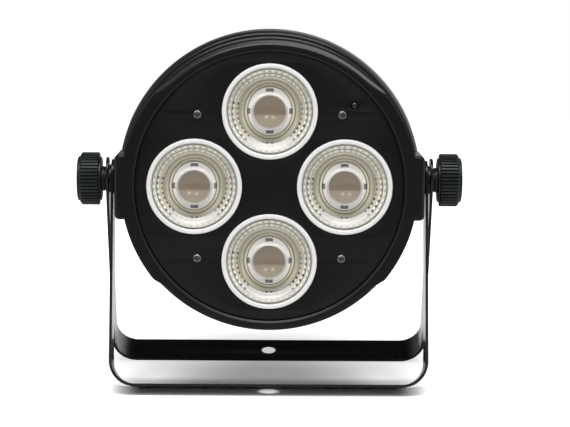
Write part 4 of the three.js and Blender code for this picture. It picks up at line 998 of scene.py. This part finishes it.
class WASH_OT_lens_holders(bpy.types.Operator):
    """Build the four white lens holders"""
    bl_idname = "wash.lens_holders"
    bl_label = "Lens holders"

    def execute(self, context):
        low, high = extent("lens_holder_top", HEAD)
        outer, foot = radius_of("lens_holder_top"), high.y - low.y
        mesh = turned([
            (outer - 3.5, 1.2, 0.2), (outer - 2.8, 0.3, 0.3), (outer - 2.3, 0, 0.4),
            (outer, 0, 0.7), (outer, 5.3, 0.5), (outer - 6, foot, 0.3),
            (outer - 7.6, foot, 0.3), (outer - 4.6, 5.3, 0), (outer - 4.6, 2.7, 0.2),
            (outer - 3.5, 2.7, 0.2)], 160, 4)
        for name, (x, z) in lens_places():
            add_piece("holder_ring_" + name, mesh, HEAD @ moved_by(x, low.y, z),
                      "white_plastic", ["lens_holder_" + name])
        return {"FINISHED"}


def reflector_outline(angle, radius, depth, back, cells, bulge):
    """Section of a lens at one angle: three rows of facets, floor, ring, crown and body."""
    share = (angle * cells / (2 * math.pi)) % 1
    swell = 1 - (2 * share - 1) ** 2
    wall = []
    rows = [((radius - 1.0, 0.4), (radius - 2.4, depth * 0.33)),
            ((radius - 2.8, depth * 0.36), (radius - 4.3, depth * 0.54)),
            ((radius - 4.7, depth * 0.57), (radius - 6.6, depth * 0.73))]
    for (r0, d0), (r1, d1) in rows:
        for k in range(7):
            t = k / 6
            rise = bulge * swell * (1 - (2 * t - 1) ** 2)
            wall.append((r0 + (r1 - r0) * t - rise, d0 + (d1 - d0) * t))
    floor = [
        (radius - 6.9, depth * 0.79), (radius - 7.5, depth * 0.8), (radius - 7.9, depth * 0.75),
        (radius - 8.3, depth * 0.81), (radius - 9.6, depth * 0.87), (radius - 10.0, depth * 0.94),
        (radius - 11.2, depth), (radius - 11.6, depth * 0.93), (radius - 12.2, depth * 0.88),
        (13.2, depth * 0.9), (12.75, depth * 0.85), (12.5, 4.5), (12.35, 2.6), (12.0, 1.4),
        (11.4, 0.88), (10.5, 0.8),
    ]
    pit = [(r, 0.85 + 1.7 * (1 - (r / 10.5) ** 2)) for r in (9.5, 8.3, 7, 5.5, 4, 2.5, 1.2)]
    body = [(0, 2.55), (0, back), (radius - 4.6, back), (radius - 1.3, 2.0),
            (radius, 2.0), (radius, 0.35), (radius - 0.25, 0.0), (radius - 0.8, 0.0)]
    return wall + floor + pit + body


class WASH_OT_lenses(bpy.types.Operator):
    """Build the four lenses, each a reflector of three rows of facets round a crown"""
    bl_idname = "wash.lenses"
    bl_label = "Lenses"

    def execute(self, context):
        low, high = extent("lens_top", HEAD)
        chosen = settings().lens
        sizes = (radius_of("lens_top"), chosen.depth / MM, high.y - low.y, chosen.cells,
                 chosen.bulge / MM)
        mesh = revolved(lambda a: reflector_outline(a, *sizes), chosen.cells * 6)
        for name, (x, z) in lens_places():
            add_piece("lens_body_" + name, mesh, HEAD @ moved_by(x, low.y, z), "lens_plastic",
                      ["lens_" + name], 20)
        return {"FINISHED"}


def screw_mesh(length):
    """Pan-head screw that points along +Y, with a tapered cross recess."""
    head = turned([
        (0, -1.9, 0), (2.1, -1.75, 0.8), (3, -1.0, 0.4), (3, -0.3, 0.15), (1.5, -0.3, 0),
        (1.5, length - 0.8, 0), (0.7, length, 0), (0, length, 0)], 40)
    for turn in (8, 98):
        wing = lofted([
            [(sx * half, depth, sz * thin) for sx, sz in ((1, 1), (-1, 1), (-1, -1), (1, -1))]
            for half, thin, depth in ((1.75, 0.42, -2.2), (0.9, 0.26, -0.75))])
        head = carved(head, moved(wing, Matrix.Rotation(math.radians(turn), 4, "Y")))
    return head


class WASH_OT_screws(bpy.types.Operator):
    """Build the cross-head screws of the front panel and of the back panel"""
    bl_idname = "wash.screws"
    bl_label = "Screws"

    def execute(self, context):
        front, back = extent("front_panel", HEAD)[0].y, extent("back_panel", HEAD)[1].y
        for group, length, surface, look, slot, turn in (
                ("panel_screw", 9, front, "panel_screw_metal", "screw", 0),
                ("back_screw", 4.5, back, "dark_metal", "dark_steel", math.pi)):
            mesh = screw_mesh(length)
            for node in numbered(group):
                x, z = centre_of(node)
                place = HEAD @ moved_by(x, surface, z) @ Matrix.Rotation(turn, 4, "Z")
                add_piece(node + "_head", mesh, place, look, [node])
        return {"FINISHED"}


class WASH_OT_sensor_window(bpy.types.Operator):
    """Build the small dark sensor window in the front panel"""
    bl_idname = "wash.sensor_window"
    bl_label = "Sensor window"

    def execute(self, context):
        low, high = extent("sensor_window", HEAD)
        x, z = centre_of("sensor_window")
        deep = high.y - low.y
        mesh = turned([
            (0, 0, 0), (0.8, 0.08, 0), (1.4, 0.3, 0), (1.9, 0.7, 0), (2.25, 1.2, 0),
            (2.4, 1.8, 0), (2.5, 3.1, 0), (3.6, 3.1, 0.15), (3.6, deep, 0.15),
            (0, deep, 0)], 48)
        add_piece("sensor_window_glass", mesh, HEAD @ moved_by(x, low.y, z), "sensor_glass",
                  ["sensor_window"])
        return {"FINISHED"}


# ---------------------------------------------------------------- the back


# Openings in the back panel, in mm: radii, half widths, or width and height
BUTTON_HOLE, FUSE_HOLE, DATA_HOLE, EYE_HOLE, LATCH_HALF = 4.3, 6.5, 11.9, 2.5, 3.8
MAINS_HOLE, DISPLAY_HOLE, GRILLE_SLOT = (26.6, 18.6), (44.6, 16.6), (22, 3)
GRILLE_MIDDLE, GRILLE_SPACING = 29, 7
EYE_LEG, EYE_WIRE = 9, 2.2


def latch_keyhole(x, z, top):
    """Outline of the data output's hole, with a straight neck up to the latch."""
    half = math.asin(LATCH_HALF / DATA_HOLE)
    arc = [math.pi / 2 + half + (2 * math.pi - 2 * half) * k / 60 for k in range(61)]
    around = [(x + DATA_HOLE * math.cos(a), z + DATA_HOLE * math.sin(a)) for a in arc]
    return around + [(x + LATCH_HALF, top), (x - LATCH_HALF, top)]


class WASH_OT_back_panel(bpy.types.Operator):
    """Build the back panel with its grille and the openings for what it carries"""
    bl_idname = "wash.back_panel"
    bl_label = "Back panel"

    def execute(self, context):
        low, high = extent("back_panel", HEAD)
        radius = radius_of("back_panel")
        _, latch = extent("data_latch", HEAD)
        _, display = centre_of("display_window")
        _, eye = centre_of("safety_eye")
        rounds = [(numbered("back_screw"), SCREW_HOLE, 24),
                  ([name + "_button" for name in BUTTONS], BUTTON_HOLE, 40),
                  (["fuse_holder"], FUSE_HOLE, 48), (["data_in_socket"], DATA_HOLE, 64)]
        holes = [circle(*centre_of(node), size, steps)
                 for nodes, size, steps in rounds for node in nodes]
        holes.append(latch_keyhole(*centre_of("data_out_socket"), latch.z + SEAT))
        for node in ("mains_inlet", "mains_outlet"):
            holes.append(rectangle(*centre_of(node), *MAINS_HOLE))
        holes.append(rectangle(0, display, *DISPLAY_HOLE))
        for sign in BOTH:
            holes.append(circle(sign * EYE_LEG, eye, EYE_HOLE, 32))
        for sign in BOTH:
            for k in range(-2, 3):
                holes.append(rectangle(sign * (radius - 38), GRILLE_MIDDLE + k * GRILLE_SPACING,
                                       *GRILLE_SLOT, 1.45, 5))
        panel = plate((low.y, high.y), 0.3, circle(0, 0, radius, 192), *holes)
        add_piece("back_panel_plate", panel, HEAD, "panel_paint", ["back_panel"])
        return {"FINISHED"}


class WASH_OT_display_and_buttons(bpy.types.Operator):
    """Build the display window and the four push buttons under it"""
    bl_idname = "wash.display_and_buttons"
    bl_label = "Display and buttons"

    def execute(self, context):
        low, high = extent("display_window", HEAD)
        step = low.y + 1.2
        front = plate((step, high.y), 0.35, rectangle(0, 0, 44, 16, 1.0))
        lip = plate((low.y, step), 0.2, rectangle(0, 0, high.x - low.x, high.z - low.z, 1.0))
        window = carved(front, moved(lip, moved_by(0, 0.02, 0)), "UNION")
        place = HEAD @ moved_by(0, 0, (low.z + high.z) / 2)
        add_piece("display_glass_window", window, place, "display_glass",
                  ["display_window"])
        low, high = extent("menu_button", HEAD)
        tall = high.y - low.y
        cap = turned([
            (0, tall - 0.35, 0), (2.6, tall - 0.3, 0.6), (3.5, tall, 0.5), (4, tall - 0.7, 0.4),
            (4, 1, 0), (5, 1, 0.2), (5, 0, 0.2), (0, 0, 0)], 64)
        for name in BUTTONS:
            x, z = centre_of(name + "_button")
            add_piece(name + "_button_cap", cap, HEAD @ moved_by(x, low.y, z), "socket_plastic",
                      [name + "_button"])
        return {"FINISHED"}


# Sockets, in mm: depths of the flange, round contacts, and places across the face
FLANGE = (-1.6, 0)
PIN_RADIUS, PIN_TIP, PIN_STEPS = 1.3, 0.78, 24
SCREW_EAR = 1.3
DATA_PINS = [(4.6 * math.cos(a), 4.6 * math.sin(a))
             for a in (math.radians(90), math.radians(210), math.radians(330))]
DATA_SCREWS = [(sx * 9.6, sz * 12.2) for sz in (-1, 1) for sx in BOTH]
MAINS_CONTACTS = [(-7, 0), (0, 2), (7, 0)]
MAINS_MOUTH = [(-11.5, -7.5), (11.5, -7.5), (11.5, 3.5), (8, 7.5), (-8, 7.5), (-11.5, 3.5)]


class WASH_OT_data_sockets(bpy.types.Operator):
    """Build the two three-pin data sockets and the latch of one of them"""
    bl_idname = "wash.data_sockets"
    bl_label = "Data sockets"

    def execute(self, context):
        latch_low, latch_high = extent("data_latch", HEAD)
        latch_x, latch_z = centre_of("data_latch")
        for name, mouth, floor in (("in", 11.3, -14), ("out", 11.1, -5)):
            node = f"data_{name}_socket"
            low, high = extent(node, HEAD)
            x, z = centre_of(node)
            length = high.y - low.y
            outline = rectangle(0, 0, high.x - low.x, high.z - low.z, 2.2, 5)
            holes = [circle(0, 0, mouth, 72)] + [circle(*at, SCREW_EAR, 20) for at in DATA_SCREWS]
            if name == "out":
                holes.append(rectangle(0, latch_z - z, 7.6, 4.6, 0.4))
            parts = [plate(FLANGE, 0.3, outline, *holes)]
            barrel = turned([
                (9.5, -0.35, 0.4), (11.6, -0.35, 0.3), (11.6, -length, 0.4), (0, -length, 0),
                (0, floor, 0), (9.5, floor, 0.3)], 72)
            for px, pz in DATA_PINS:
                if name == "in":
                    contact = pin(PIN_RADIUS, 0, 10, PIN_STEPS, PIN_TIP)
                    parts.append(moved(contact, moved_by(px, floor - 1, pz)))
                else:
                    hole = pin(PIN_RADIUS, 0, 12, PIN_STEPS, PIN_TIP)
                    barrel = carved(barrel, moved(hole, moved_by(px, -14, pz)))
            parts.insert(1, barrel)
            add_piece(f"data_{name}_shell", joined(*parts), HEAD @ moved_by(x, high.y, z),
                      "socket_plastic", [node])
        tall = latch_high.y - latch_low.y
        key = block(centred(0, 7), (0, tall), centred(0, 4), 0.5, 3)
        for k in (-1, 0, 1):
            key = carved(key, block((-3, 3), (tall - 0.3, tall + 1), centred(k, 0.35)))
        add_piece("data_latch_key", key, HEAD @ moved_by(latch_x, latch_low.y, latch_z),
                  "dark_metal", ["data_latch"])
        return {"FINISHED"}


class WASH_OT_mains_sockets(bpy.types.Operator):
    """Build the mains inlet and the mains outlet"""
    bl_idname = "wash.mains_sockets"
    bl_label = "Mains sockets"

    def execute(self, context):
        mouth = [tuple(point) for point in eased([(*at, 1.0) for at in MAINS_MOUTH], 4)]
        for name, floor in (("inlet", -15), ("outlet", -4)):
            node = "mains_" + name
            low, high = extent(node, HEAD)
            x, z = centre_of(node)
            length = high.y - low.y
            flange = plate(FLANGE, 0.35, rectangle(0, 0, 30, 22, 2.0, 5), mouth)
            tube = plate((-length, -0.9), 0.05, rectangle(0, 0, 26, 18, 0.8), mouth)
            slots = [rectangle(px, pz, 2.6, 4.6, 0.3) for px, pz in MAINS_CONTACTS]
            base = plate((-length, floor), 0.05, rectangle(0, 0, 25.6, 17.6, 0.8),
                         *(slots if name == "outlet" else []))
            parts = [carved(flange, tube, "UNION"), base]
            if name == "inlet":
                parts += [block(centred(px, 2), (floor - 1, floor + 10), centred(pz, 4), 0.4)
                          for px, pz in MAINS_CONTACTS]
            else:
                parts.append(plate((-length, -14), 0.05, rectangle(0, 0, 25.4, 17.4, 0.8)))
            add_piece(f"mains_{name}_shell", joined(*parts), HEAD @ moved_by(x, high.y, z),
                      "socket_plastic", [node])
        return {"FINISHED"}


class WASH_OT_fuse_holder(bpy.types.Operator):
    """Build the fuse holder and its slotted cap"""
    bl_idname = "wash.fuse_holder"
    bl_label = "Fuse holder"

    def execute(self, context):
        low, high = extent("fuse_holder", HEAD)
        x, z = centre_of("fuse_holder")
        length = high.y - low.y
        collar = turned([
            (0, -length, 0), (6.2, -length, 0.4), (6.2, -1.6, 0), (8, -1.6, 0.2), (8, 0, 0.7),
            (5.3, 0, 0.3), (5.3, -9.3, 0), (0, -9.3, 0)], 72)
        add_piece("fuse_collar", collar, HEAD @ moved_by(x, high.y, z), "socket_plastic",
                  ["fuse_holder"])
        low, high = extent("fuse_cap", HEAD)
        tall = high.y - low.y

        def fluted(angle):
            grip = 5 - 0.22 * (1 + math.cos(24 * angle)) / 2
            return eased([(0, 0, 0), (5, 0, 0.3), (5, tall - 3, 0), (grip, tall - 2.6, 0),
                          (grip, tall, 0.5), (0, tall, 0)], 3)

        cap = revolved(fluted, 192)
        slot = block((-3.5, 3.5), (tall - 1.5, tall + 1), centred(0, 1), 0.1, 1)
        add_piece("fuse_cap_knob", carved(cap, slot), HEAD @ moved_by(x, low.y, z),
                  "socket_plastic", ["fuse_cap"])
        return {"FINISHED"}


class WASH_OT_safety_eye(bpy.types.Operator):
    """Build the wire loop that takes a safety cable"""
    bl_idname = "wash.safety_eye"
    bl_label = "Safety eye"

    def execute(self, context):
        low, high = extent("safety_eye", HEAD)
        _, z = centre_of("safety_eye")
        wire = (high.z - low.z) / 2
        half = radius_of("safety_eye") - wire
        bend = high.y - wire - half
        curve = bpy.data.curves.new("eye", "CURVE")
        curve.dimensions = "3D"
        curve.bevel_depth = EYE_WIRE * MM
        curve.bevel_resolution = 8
        curve.use_fill_caps = True
        arc = [math.pi * k / 24 for k in range(25)]
        add_line(curve, [
            (half, low.y), (half, (low.y + bend) / 2),
            *[(half * math.cos(a), bend + half * math.sin(a)) for a in arc],
            (-half, (low.y + bend) / 2), (-half, low.y)])
        mesh = moved(mesh_of_curve(curve), HEAD @ moved_by(0, 0, z))
        add_piece("safety_eye_loop", mesh, Matrix.Identity(4), "zinc_steel",
                  ["safety_eye"])
        return {"FINISHED"}


# ---------------------------------------------------------------- clamps and brackets


NECK, STUD_DEPTH = 8.8, 11.3  # radius of a knob's neck and depth of its stud hole, in mm


class WASH_OT_washers(bpy.types.Operator):
    """Build the rubber, spacer and captive washers of both clamps"""
    bl_idname = "wash.washers"
    bl_label = "Washers"

    def execute(self, context):
        for kind, look, slot, edge in (("rubber_washer", "washer_rubber", "rubber", 0.5),
                                       ("spacer_washer", "dark_metal", "dark_steel", 0.25),
                                       ("captive_washer", "dark_metal", "dark_steel", 0.25)):
            for side, turn in SIDES:
                node = f"{kind}_{side}"
                place = clamp_place(turn)
                low, high = extent(node, place)
                radius = (high.z - low.z) / 2
                ring = turned([(STUD_BORE, low.x, edge / 2), (radius, low.x, edge),
                               (radius, high.x, edge), (STUD_BORE, high.x, edge / 2)])
                add_piece(node + "_ring", moved(ring, Matrix.Rotation(LOWERED, 4, "Z")), place,
                          look, [node])
        return {"FINISHED"}


def knob_section(angle, start, end, radius, ribs, rib_depth):
    """Section of a knob at one angle, with its ribs round the grip."""
    wave = abs(math.sin(ribs * angle / 2))
    groove = rib_depth * (1 - min(1.0, wave * 1.4) ** 1.5)
    collar = start + 2
    grip = collar + 1.5
    outer = radius - groove
    disc, stud_end = radius - 2.9, start + STUD_DEPTH
    return eased([
        (0, end - 0.1, 0), (5, end, 0), (disc - 1.5, end, 0), (disc, end - 0.5, 0.6),
        (disc, end - 2.1, 0), (radius - 1.3 - groove, end - 2.1, 0.2), (outer, end - 3.4, 0.5),
        (outer, grip + 0.5, 0.3), (radius - 0.5 - groove, grip, 0.2), (disc - 0.3, grip, 0),
        (disc - 0.3, collar, 0.5), (NECK, collar, 0.5), (NECK, start, 0.4),
        (STUD_BORE, start, 0.3), (STUD_BORE, stud_end, 0), (0, stud_end, 0),
    ], 3)


class WASH_OT_knobs(bpy.types.Operator):
    """Build the two ribbed clamp knobs"""
    bl_idname = "wash.knobs"
    bl_label = "Knobs"

    def execute(self, context):
        chosen = settings().knob
        low, high = extent("knob_right", clamp_place(0))
        sizes = (low.x, high.x, (high.z - low.z) / 2, chosen.ribs, chosen.rib_depth / MM)
        mesh = revolved(lambda a: knob_section(a, *sizes), chosen.ribs * 12)
        moved(mesh, Matrix.Rotation(LOWERED, 4, "Z"))
        for side, turn in SIDES:
            add_piece("knob_grip_" + side, mesh, clamp_place(turn), "knob_plastic",
                      ["knob_" + side], 40)
        return {"FINISHED"}


# Brackets, in mm: strip thickness, how far the legs spread from the bends to the ears,
# where they are upright, and the rounding of the strip's edges
STRIP = 2
SPREAD, UPRIGHT, STRIP_EDGE = 0.2, -15, 0.35


def strip_path(reach, outer, bend, top):
    """Centre line of one half of a strip from the middle of its bar: length and place."""
    arc_x, arc_z = outer - SPREAD - bend, -(reach - bend)
    middle = bend - STRIP / 2
    places = [(0, -reach + STRIP / 2), (arc_x, -reach + STRIP / 2)]
    places += [(arc_x + middle * math.sin(a), arc_z - middle * math.cos(a))
               for a in (math.pi / 2 * k / 16 for k in range(1, 17))]
    places += [(outer - STRIP / 2, UPRIGHT), (outer - STRIP / 2, top)]
    lengths = [0.0]
    for one, two in zip(places, places[1:]):
        lengths.append(lengths[-1] + math.dist(one, two))
    return lengths, places


def bent_strip(reach, outer, ear_rise, bar_hole, width, bend):
    """Flat strip with rounded ends and three holes, bent into a bracket."""
    half = width / 2
    top = ear_rise + half
    lengths, places = strip_path(reach, outer, bend, top)
    pivot = lengths[-1] - top
    end = lengths[-1] - half
    ear = [(end + half * math.sin(a), -half * math.cos(a))
           for a in (math.pi * k / 32 for k in range(33))]
    outline = ear + [(-u, -v) for u, v in ear]
    bm = loaded(plate(centred(0, STRIP), STRIP_EDGE, outline, circle(0, 0, bar_hole, 48),
                      *[circle(sign * pivot, 0, STUD_BORE, 40) for sign in BOTH]))
    for length in lengths[1:-1]:
        for sign in BOTH:
            bmesh.ops.bisect_plane(
                bm, geom=bm.verts[:] + bm.edges[:] + bm.faces[:], dist=1e-7,
                plane_co=(sign * length * MM, 0, 0), plane_no=(1, 0, 0))
    headings = [math.atan2(two[1] - one[1], two[0] - one[0])
                for one, two in zip(places, places[1:])]
    for vertex in bm.verts:
        run, through, across = (at / MM for at in vertex.co)
        far = min(abs(run), lengths[-1])
        k = next(i for i in range(1, len(lengths)) if far <= lengths[i] + 1e-4)
        share = (far - lengths[k - 1]) / (lengths[k] - lengths[k - 1])
        spot = Vector(places[k - 1]).lerp(Vector(places[k]), share)
        heading = headings[k - 1]
        if share > 0.999 and k < len(headings):
            heading = (headings[k - 1] + headings[k]) / 2
        elif share < 0.001 and k > 1:
            heading = (headings[k - 1] + headings[k - 2]) / 2
        spot -= Vector((-math.sin(heading), math.cos(heading))) * through
        x = math.copysign(spot.x, run) if far > TINY else 0.0
        vertex.co = Vector((x, across, spot.y)) * MM
    return mesh_of(bm)


class WASH_OT_brackets(bpy.types.Operator):
    """Build the front and rear brackets from bent strip"""
    bl_idname = "wash.brackets"
    bl_label = "Brackets"

    def execute(self, context):
        chosen = settings().bracket
        for node, lean, ear_rise, bar_hole in (
                ("front_bracket", -chosen.front_lean, 1.6, 6.75),
                ("rear_bracket", chosen.rear_lean, 3.6, 5.25)):
            place = Matrix.Translation(PIVOT) @ Matrix.Rotation(lean, 4, "X")
            low, high = extent(node, place)
            mesh = bent_strip(-low.z, high.x, ear_rise, bar_hole, high.y - low.y,
                              chosen.bend / MM)
            add_piece(node + "_strip", mesh, place, "bracket_paint", [node])
        return {"FINISHED"}


INNER_LOOKS = {
    "heat_sink": "sink_metal", "light_board": "white_board", "supply_board": "green_board",
    "driver_board": "green_board", "control_board": "green_board",
    **{"emitter_" + name: "phosphor" for name in LENSES},
    **{"pivot_insert_" + side: "brass" for side, _ in SIDES},
    **{"stud_" + side: "zinc_steel" for side, _ in SIDES},
}


class WASH_OT_inner_parts(bpy.types.Operator):
    """Give the parts inside the head and the studs their finishes"""
    bl_idname = "wash.inner_parts"
    bl_label = "Inner parts"

    def execute(self, context):
        for node, look in INNER_LOOKS.items():
            dress(node, look)
        return {"FINISHED"}


# ---------------------------------------------------------------- stage


SPARK_POWER, WARM_WHITE = 3.4, (1.0, 0.95, 0.87)


def area_lamp(name, place, target, size, power, colour=(1, 1, 1)):
    lamp = bpy.data.lights.new(name, "AREA")
    lamp.shape = "RECTANGLE"
    lamp.size, lamp.size_y = size
    lamp.energy = power
    lamp.color = colour
    holder = bpy.data.objects.new(name, lamp)
    bpy.context.scene.collection.objects.link(holder)
    holder.location = place
    holder.rotation_euler = (Vector(target) - Vector(place)).to_track_quat("-Z", "Y").to_euler()


def light_room(above, ahead):
    """White behind the light, dark in front of it, with soft light from above."""
    room = Finish("room", "worlds")
    bpy.context.scene.world = room.owner
    x, y, z = room.axes(room.node("TexCoord", output="Generated"))
    camera, glossy, clear = [room.node("LightPath", output=f"Is {ray} Ray")
                             for ray in ("Camera", "Glossy", "Transmission")]
    seen = room.math("MAXIMUM", camera, room.math("MAXIMUM", glossy, clear))
    behind = room.between(y, -0.35, 0.25) * room.between(z, 0.3, 0.75, 1.0, 0.0) * room.between(
        x, -0.2, 0.1, 0.15, 0.8)
    beside = room.between(abs(x), 0.55, 0.9) * 0.7
    around = room.math("MAXIMUM", behind, beside)
    strip = room.band(y, -0.36, 0.34, 0.12) * room.between(z, 0.25, 0.5) * 2.0
    mirrored = 0.03 + strip + 0.97 * room.math("MAXIMUM", around, camera)
    front = room.between(y, -0.5, -0.1, ahead, 0.0) * room.between(z, 0.22, 0.34) * room.between(
        z, 0.7, 0.85, 1.0, 0.0)
    soft = front + room.between(z, 0.2, 0.9, 0.0, above)
    strength = seen * mirrored + (1 - seen) * soft
    values = {"Color": (1, 1, 1, 1), "Strength": strength}
    room.output(room.node("Background", values=values), "World")


def floor_white():
    """Near-white card whose open areas look white to the camera and which keeps shadows, with
    painted shade under the front bar and near the middle.
    """
    card = Finish("floor_card")
    grain = card.noise(0.02, 3.0, 0.5)
    tint = card.mix(grain, (0.93, 0.93, 0.93), (0.96, 0.96, 0.96))
    surface = card.node("BsdfDiffuse", values={"Color": tint})
    camera = card.node("LightPath", output="Is Camera Ray")
    x, y, _ = card.axes()
    away = card.math("SQRT", x * x + y * y)
    # painted shadow: the glow is left out under the front bar and is weaker near the middle, so
    # the floor looks shaded there
    painted_shadow_under_bar = card.band(y, -38, 44, 10) * card.band(x, 0, 206, 14)
    painted_shade_lift = card.between(away, 15, 110, 0.18, 0.62) + card.between(away, 150, 300, 0.0, 0.4)
    glow = card.node("Emission", values={
        "Color": (1, 1, 1, 1), "Strength": camera * painted_shade_lift * (1 - painted_shadow_under_bar)})
    return card.output(card.node("AddShader", values={0: surface, 1: glow}))


class WASH_OT_stage(bpy.types.Operator):
    """Set up the floor, the lamps, the room and the camera"""
    bl_idname = "wash.stage"
    bl_label = "Stage"

    def execute(self, context):
        chosen = settings().stage
        bm = bmesh.new()
        bmesh.ops.create_grid(bm, x_segments=4, y_segments=4, size=1.2)
        floor = bpy.data.objects.new("floor", mesh_of(bm))
        floor.data.materials.append(floor_white())
        context.scene.collection.objects.link(floor)
        light_room(chosen.sky, chosen.front_light)
        area_lamp("overhead", (0.0, -0.42, 1.3), (0, 0, 0.05), (1.1, 0.3), chosen.overhead)
        for side in (-1, 1):  # two small lamps in front light the lenses
            area_lamp(f"spark_{side + 2}", (side * 0.44, -3.0, 1.0), (0, 0, 0.15), (0.3, 0.2),
                      SPARK_POWER, WARM_WHITE)
        camera = bpy.data.cameras.new("camera")
        camera.lens = chosen.focal_length
        camera.sensor_width = 36
        camera.shift_x = chosen.shift
        holder = bpy.data.objects.new("camera", camera)
        context.scene.collection.objects.link(holder)
        holder.matrix_world = (
            Matrix.Translation(PIVOT + Vector((0, -chosen.distance, chosen.height)))
            @ Matrix.Rotation(math.pi / 2 - chosen.look_down, 4, "X")
            @ Matrix.Rotation(chosen.roll, 4, "Z"))
        context.scene.camera = holder
        context.scene.view_settings.view_transform = "Standard"
        return {"FINISHED"}


OPERATORS = (
    WASH_OT_front_housing, WASH_OT_rear_housing, WASH_OT_front_panel, WASH_OT_lens_holders,
    WASH_OT_lenses, WASH_OT_screws, WASH_OT_sensor_window, WASH_OT_back_panel,
    WASH_OT_display_and_buttons, WASH_OT_data_sockets, WASH_OT_mains_sockets,
    WASH_OT_fuse_holder, WASH_OT_safety_eye, WASH_OT_washers, WASH_OT_knobs,
    WASH_OT_brackets, WASH_OT_inner_parts, WASH_OT_stage)


class WASH_PT_pieces(bpy.types.Panel):
    """Lists the pieces of the wash light"""
    bl_idname = "WASH_PT_pieces"
    bl_label = "Wash light"
    bl_space_type = "VIEW_3D"
    bl_region_type = "UI"
    bl_category = "Wash light"

    def draw(self, context):
        for operator in OPERATORS:
            self.layout.operator(operator.bl_idname)


CLASSES = (HousingSettings, LensSettings, KnobSettings, BracketSettings, StageSettings,
           WashLightSettings, *OPERATORS, WASH_PT_pieces)


def register():
    for kind in CLASSES:
        bpy.utils.register_class(kind)
    bpy.types.Scene.wash_light = bpy.props.PointerProperty(type=WashLightSettings)


def unregister():
    del bpy.types.Scene.wash_light
    for kind in reversed(CLASSES):
        bpy.utils.unregister_class(kind)


def main():
    register()
    for operator in OPERATORS:
        group, name = operator.bl_idname.split(".")
        getattr(getattr(bpy.ops, group), name)()


if __name__ == "__main__":
    main()
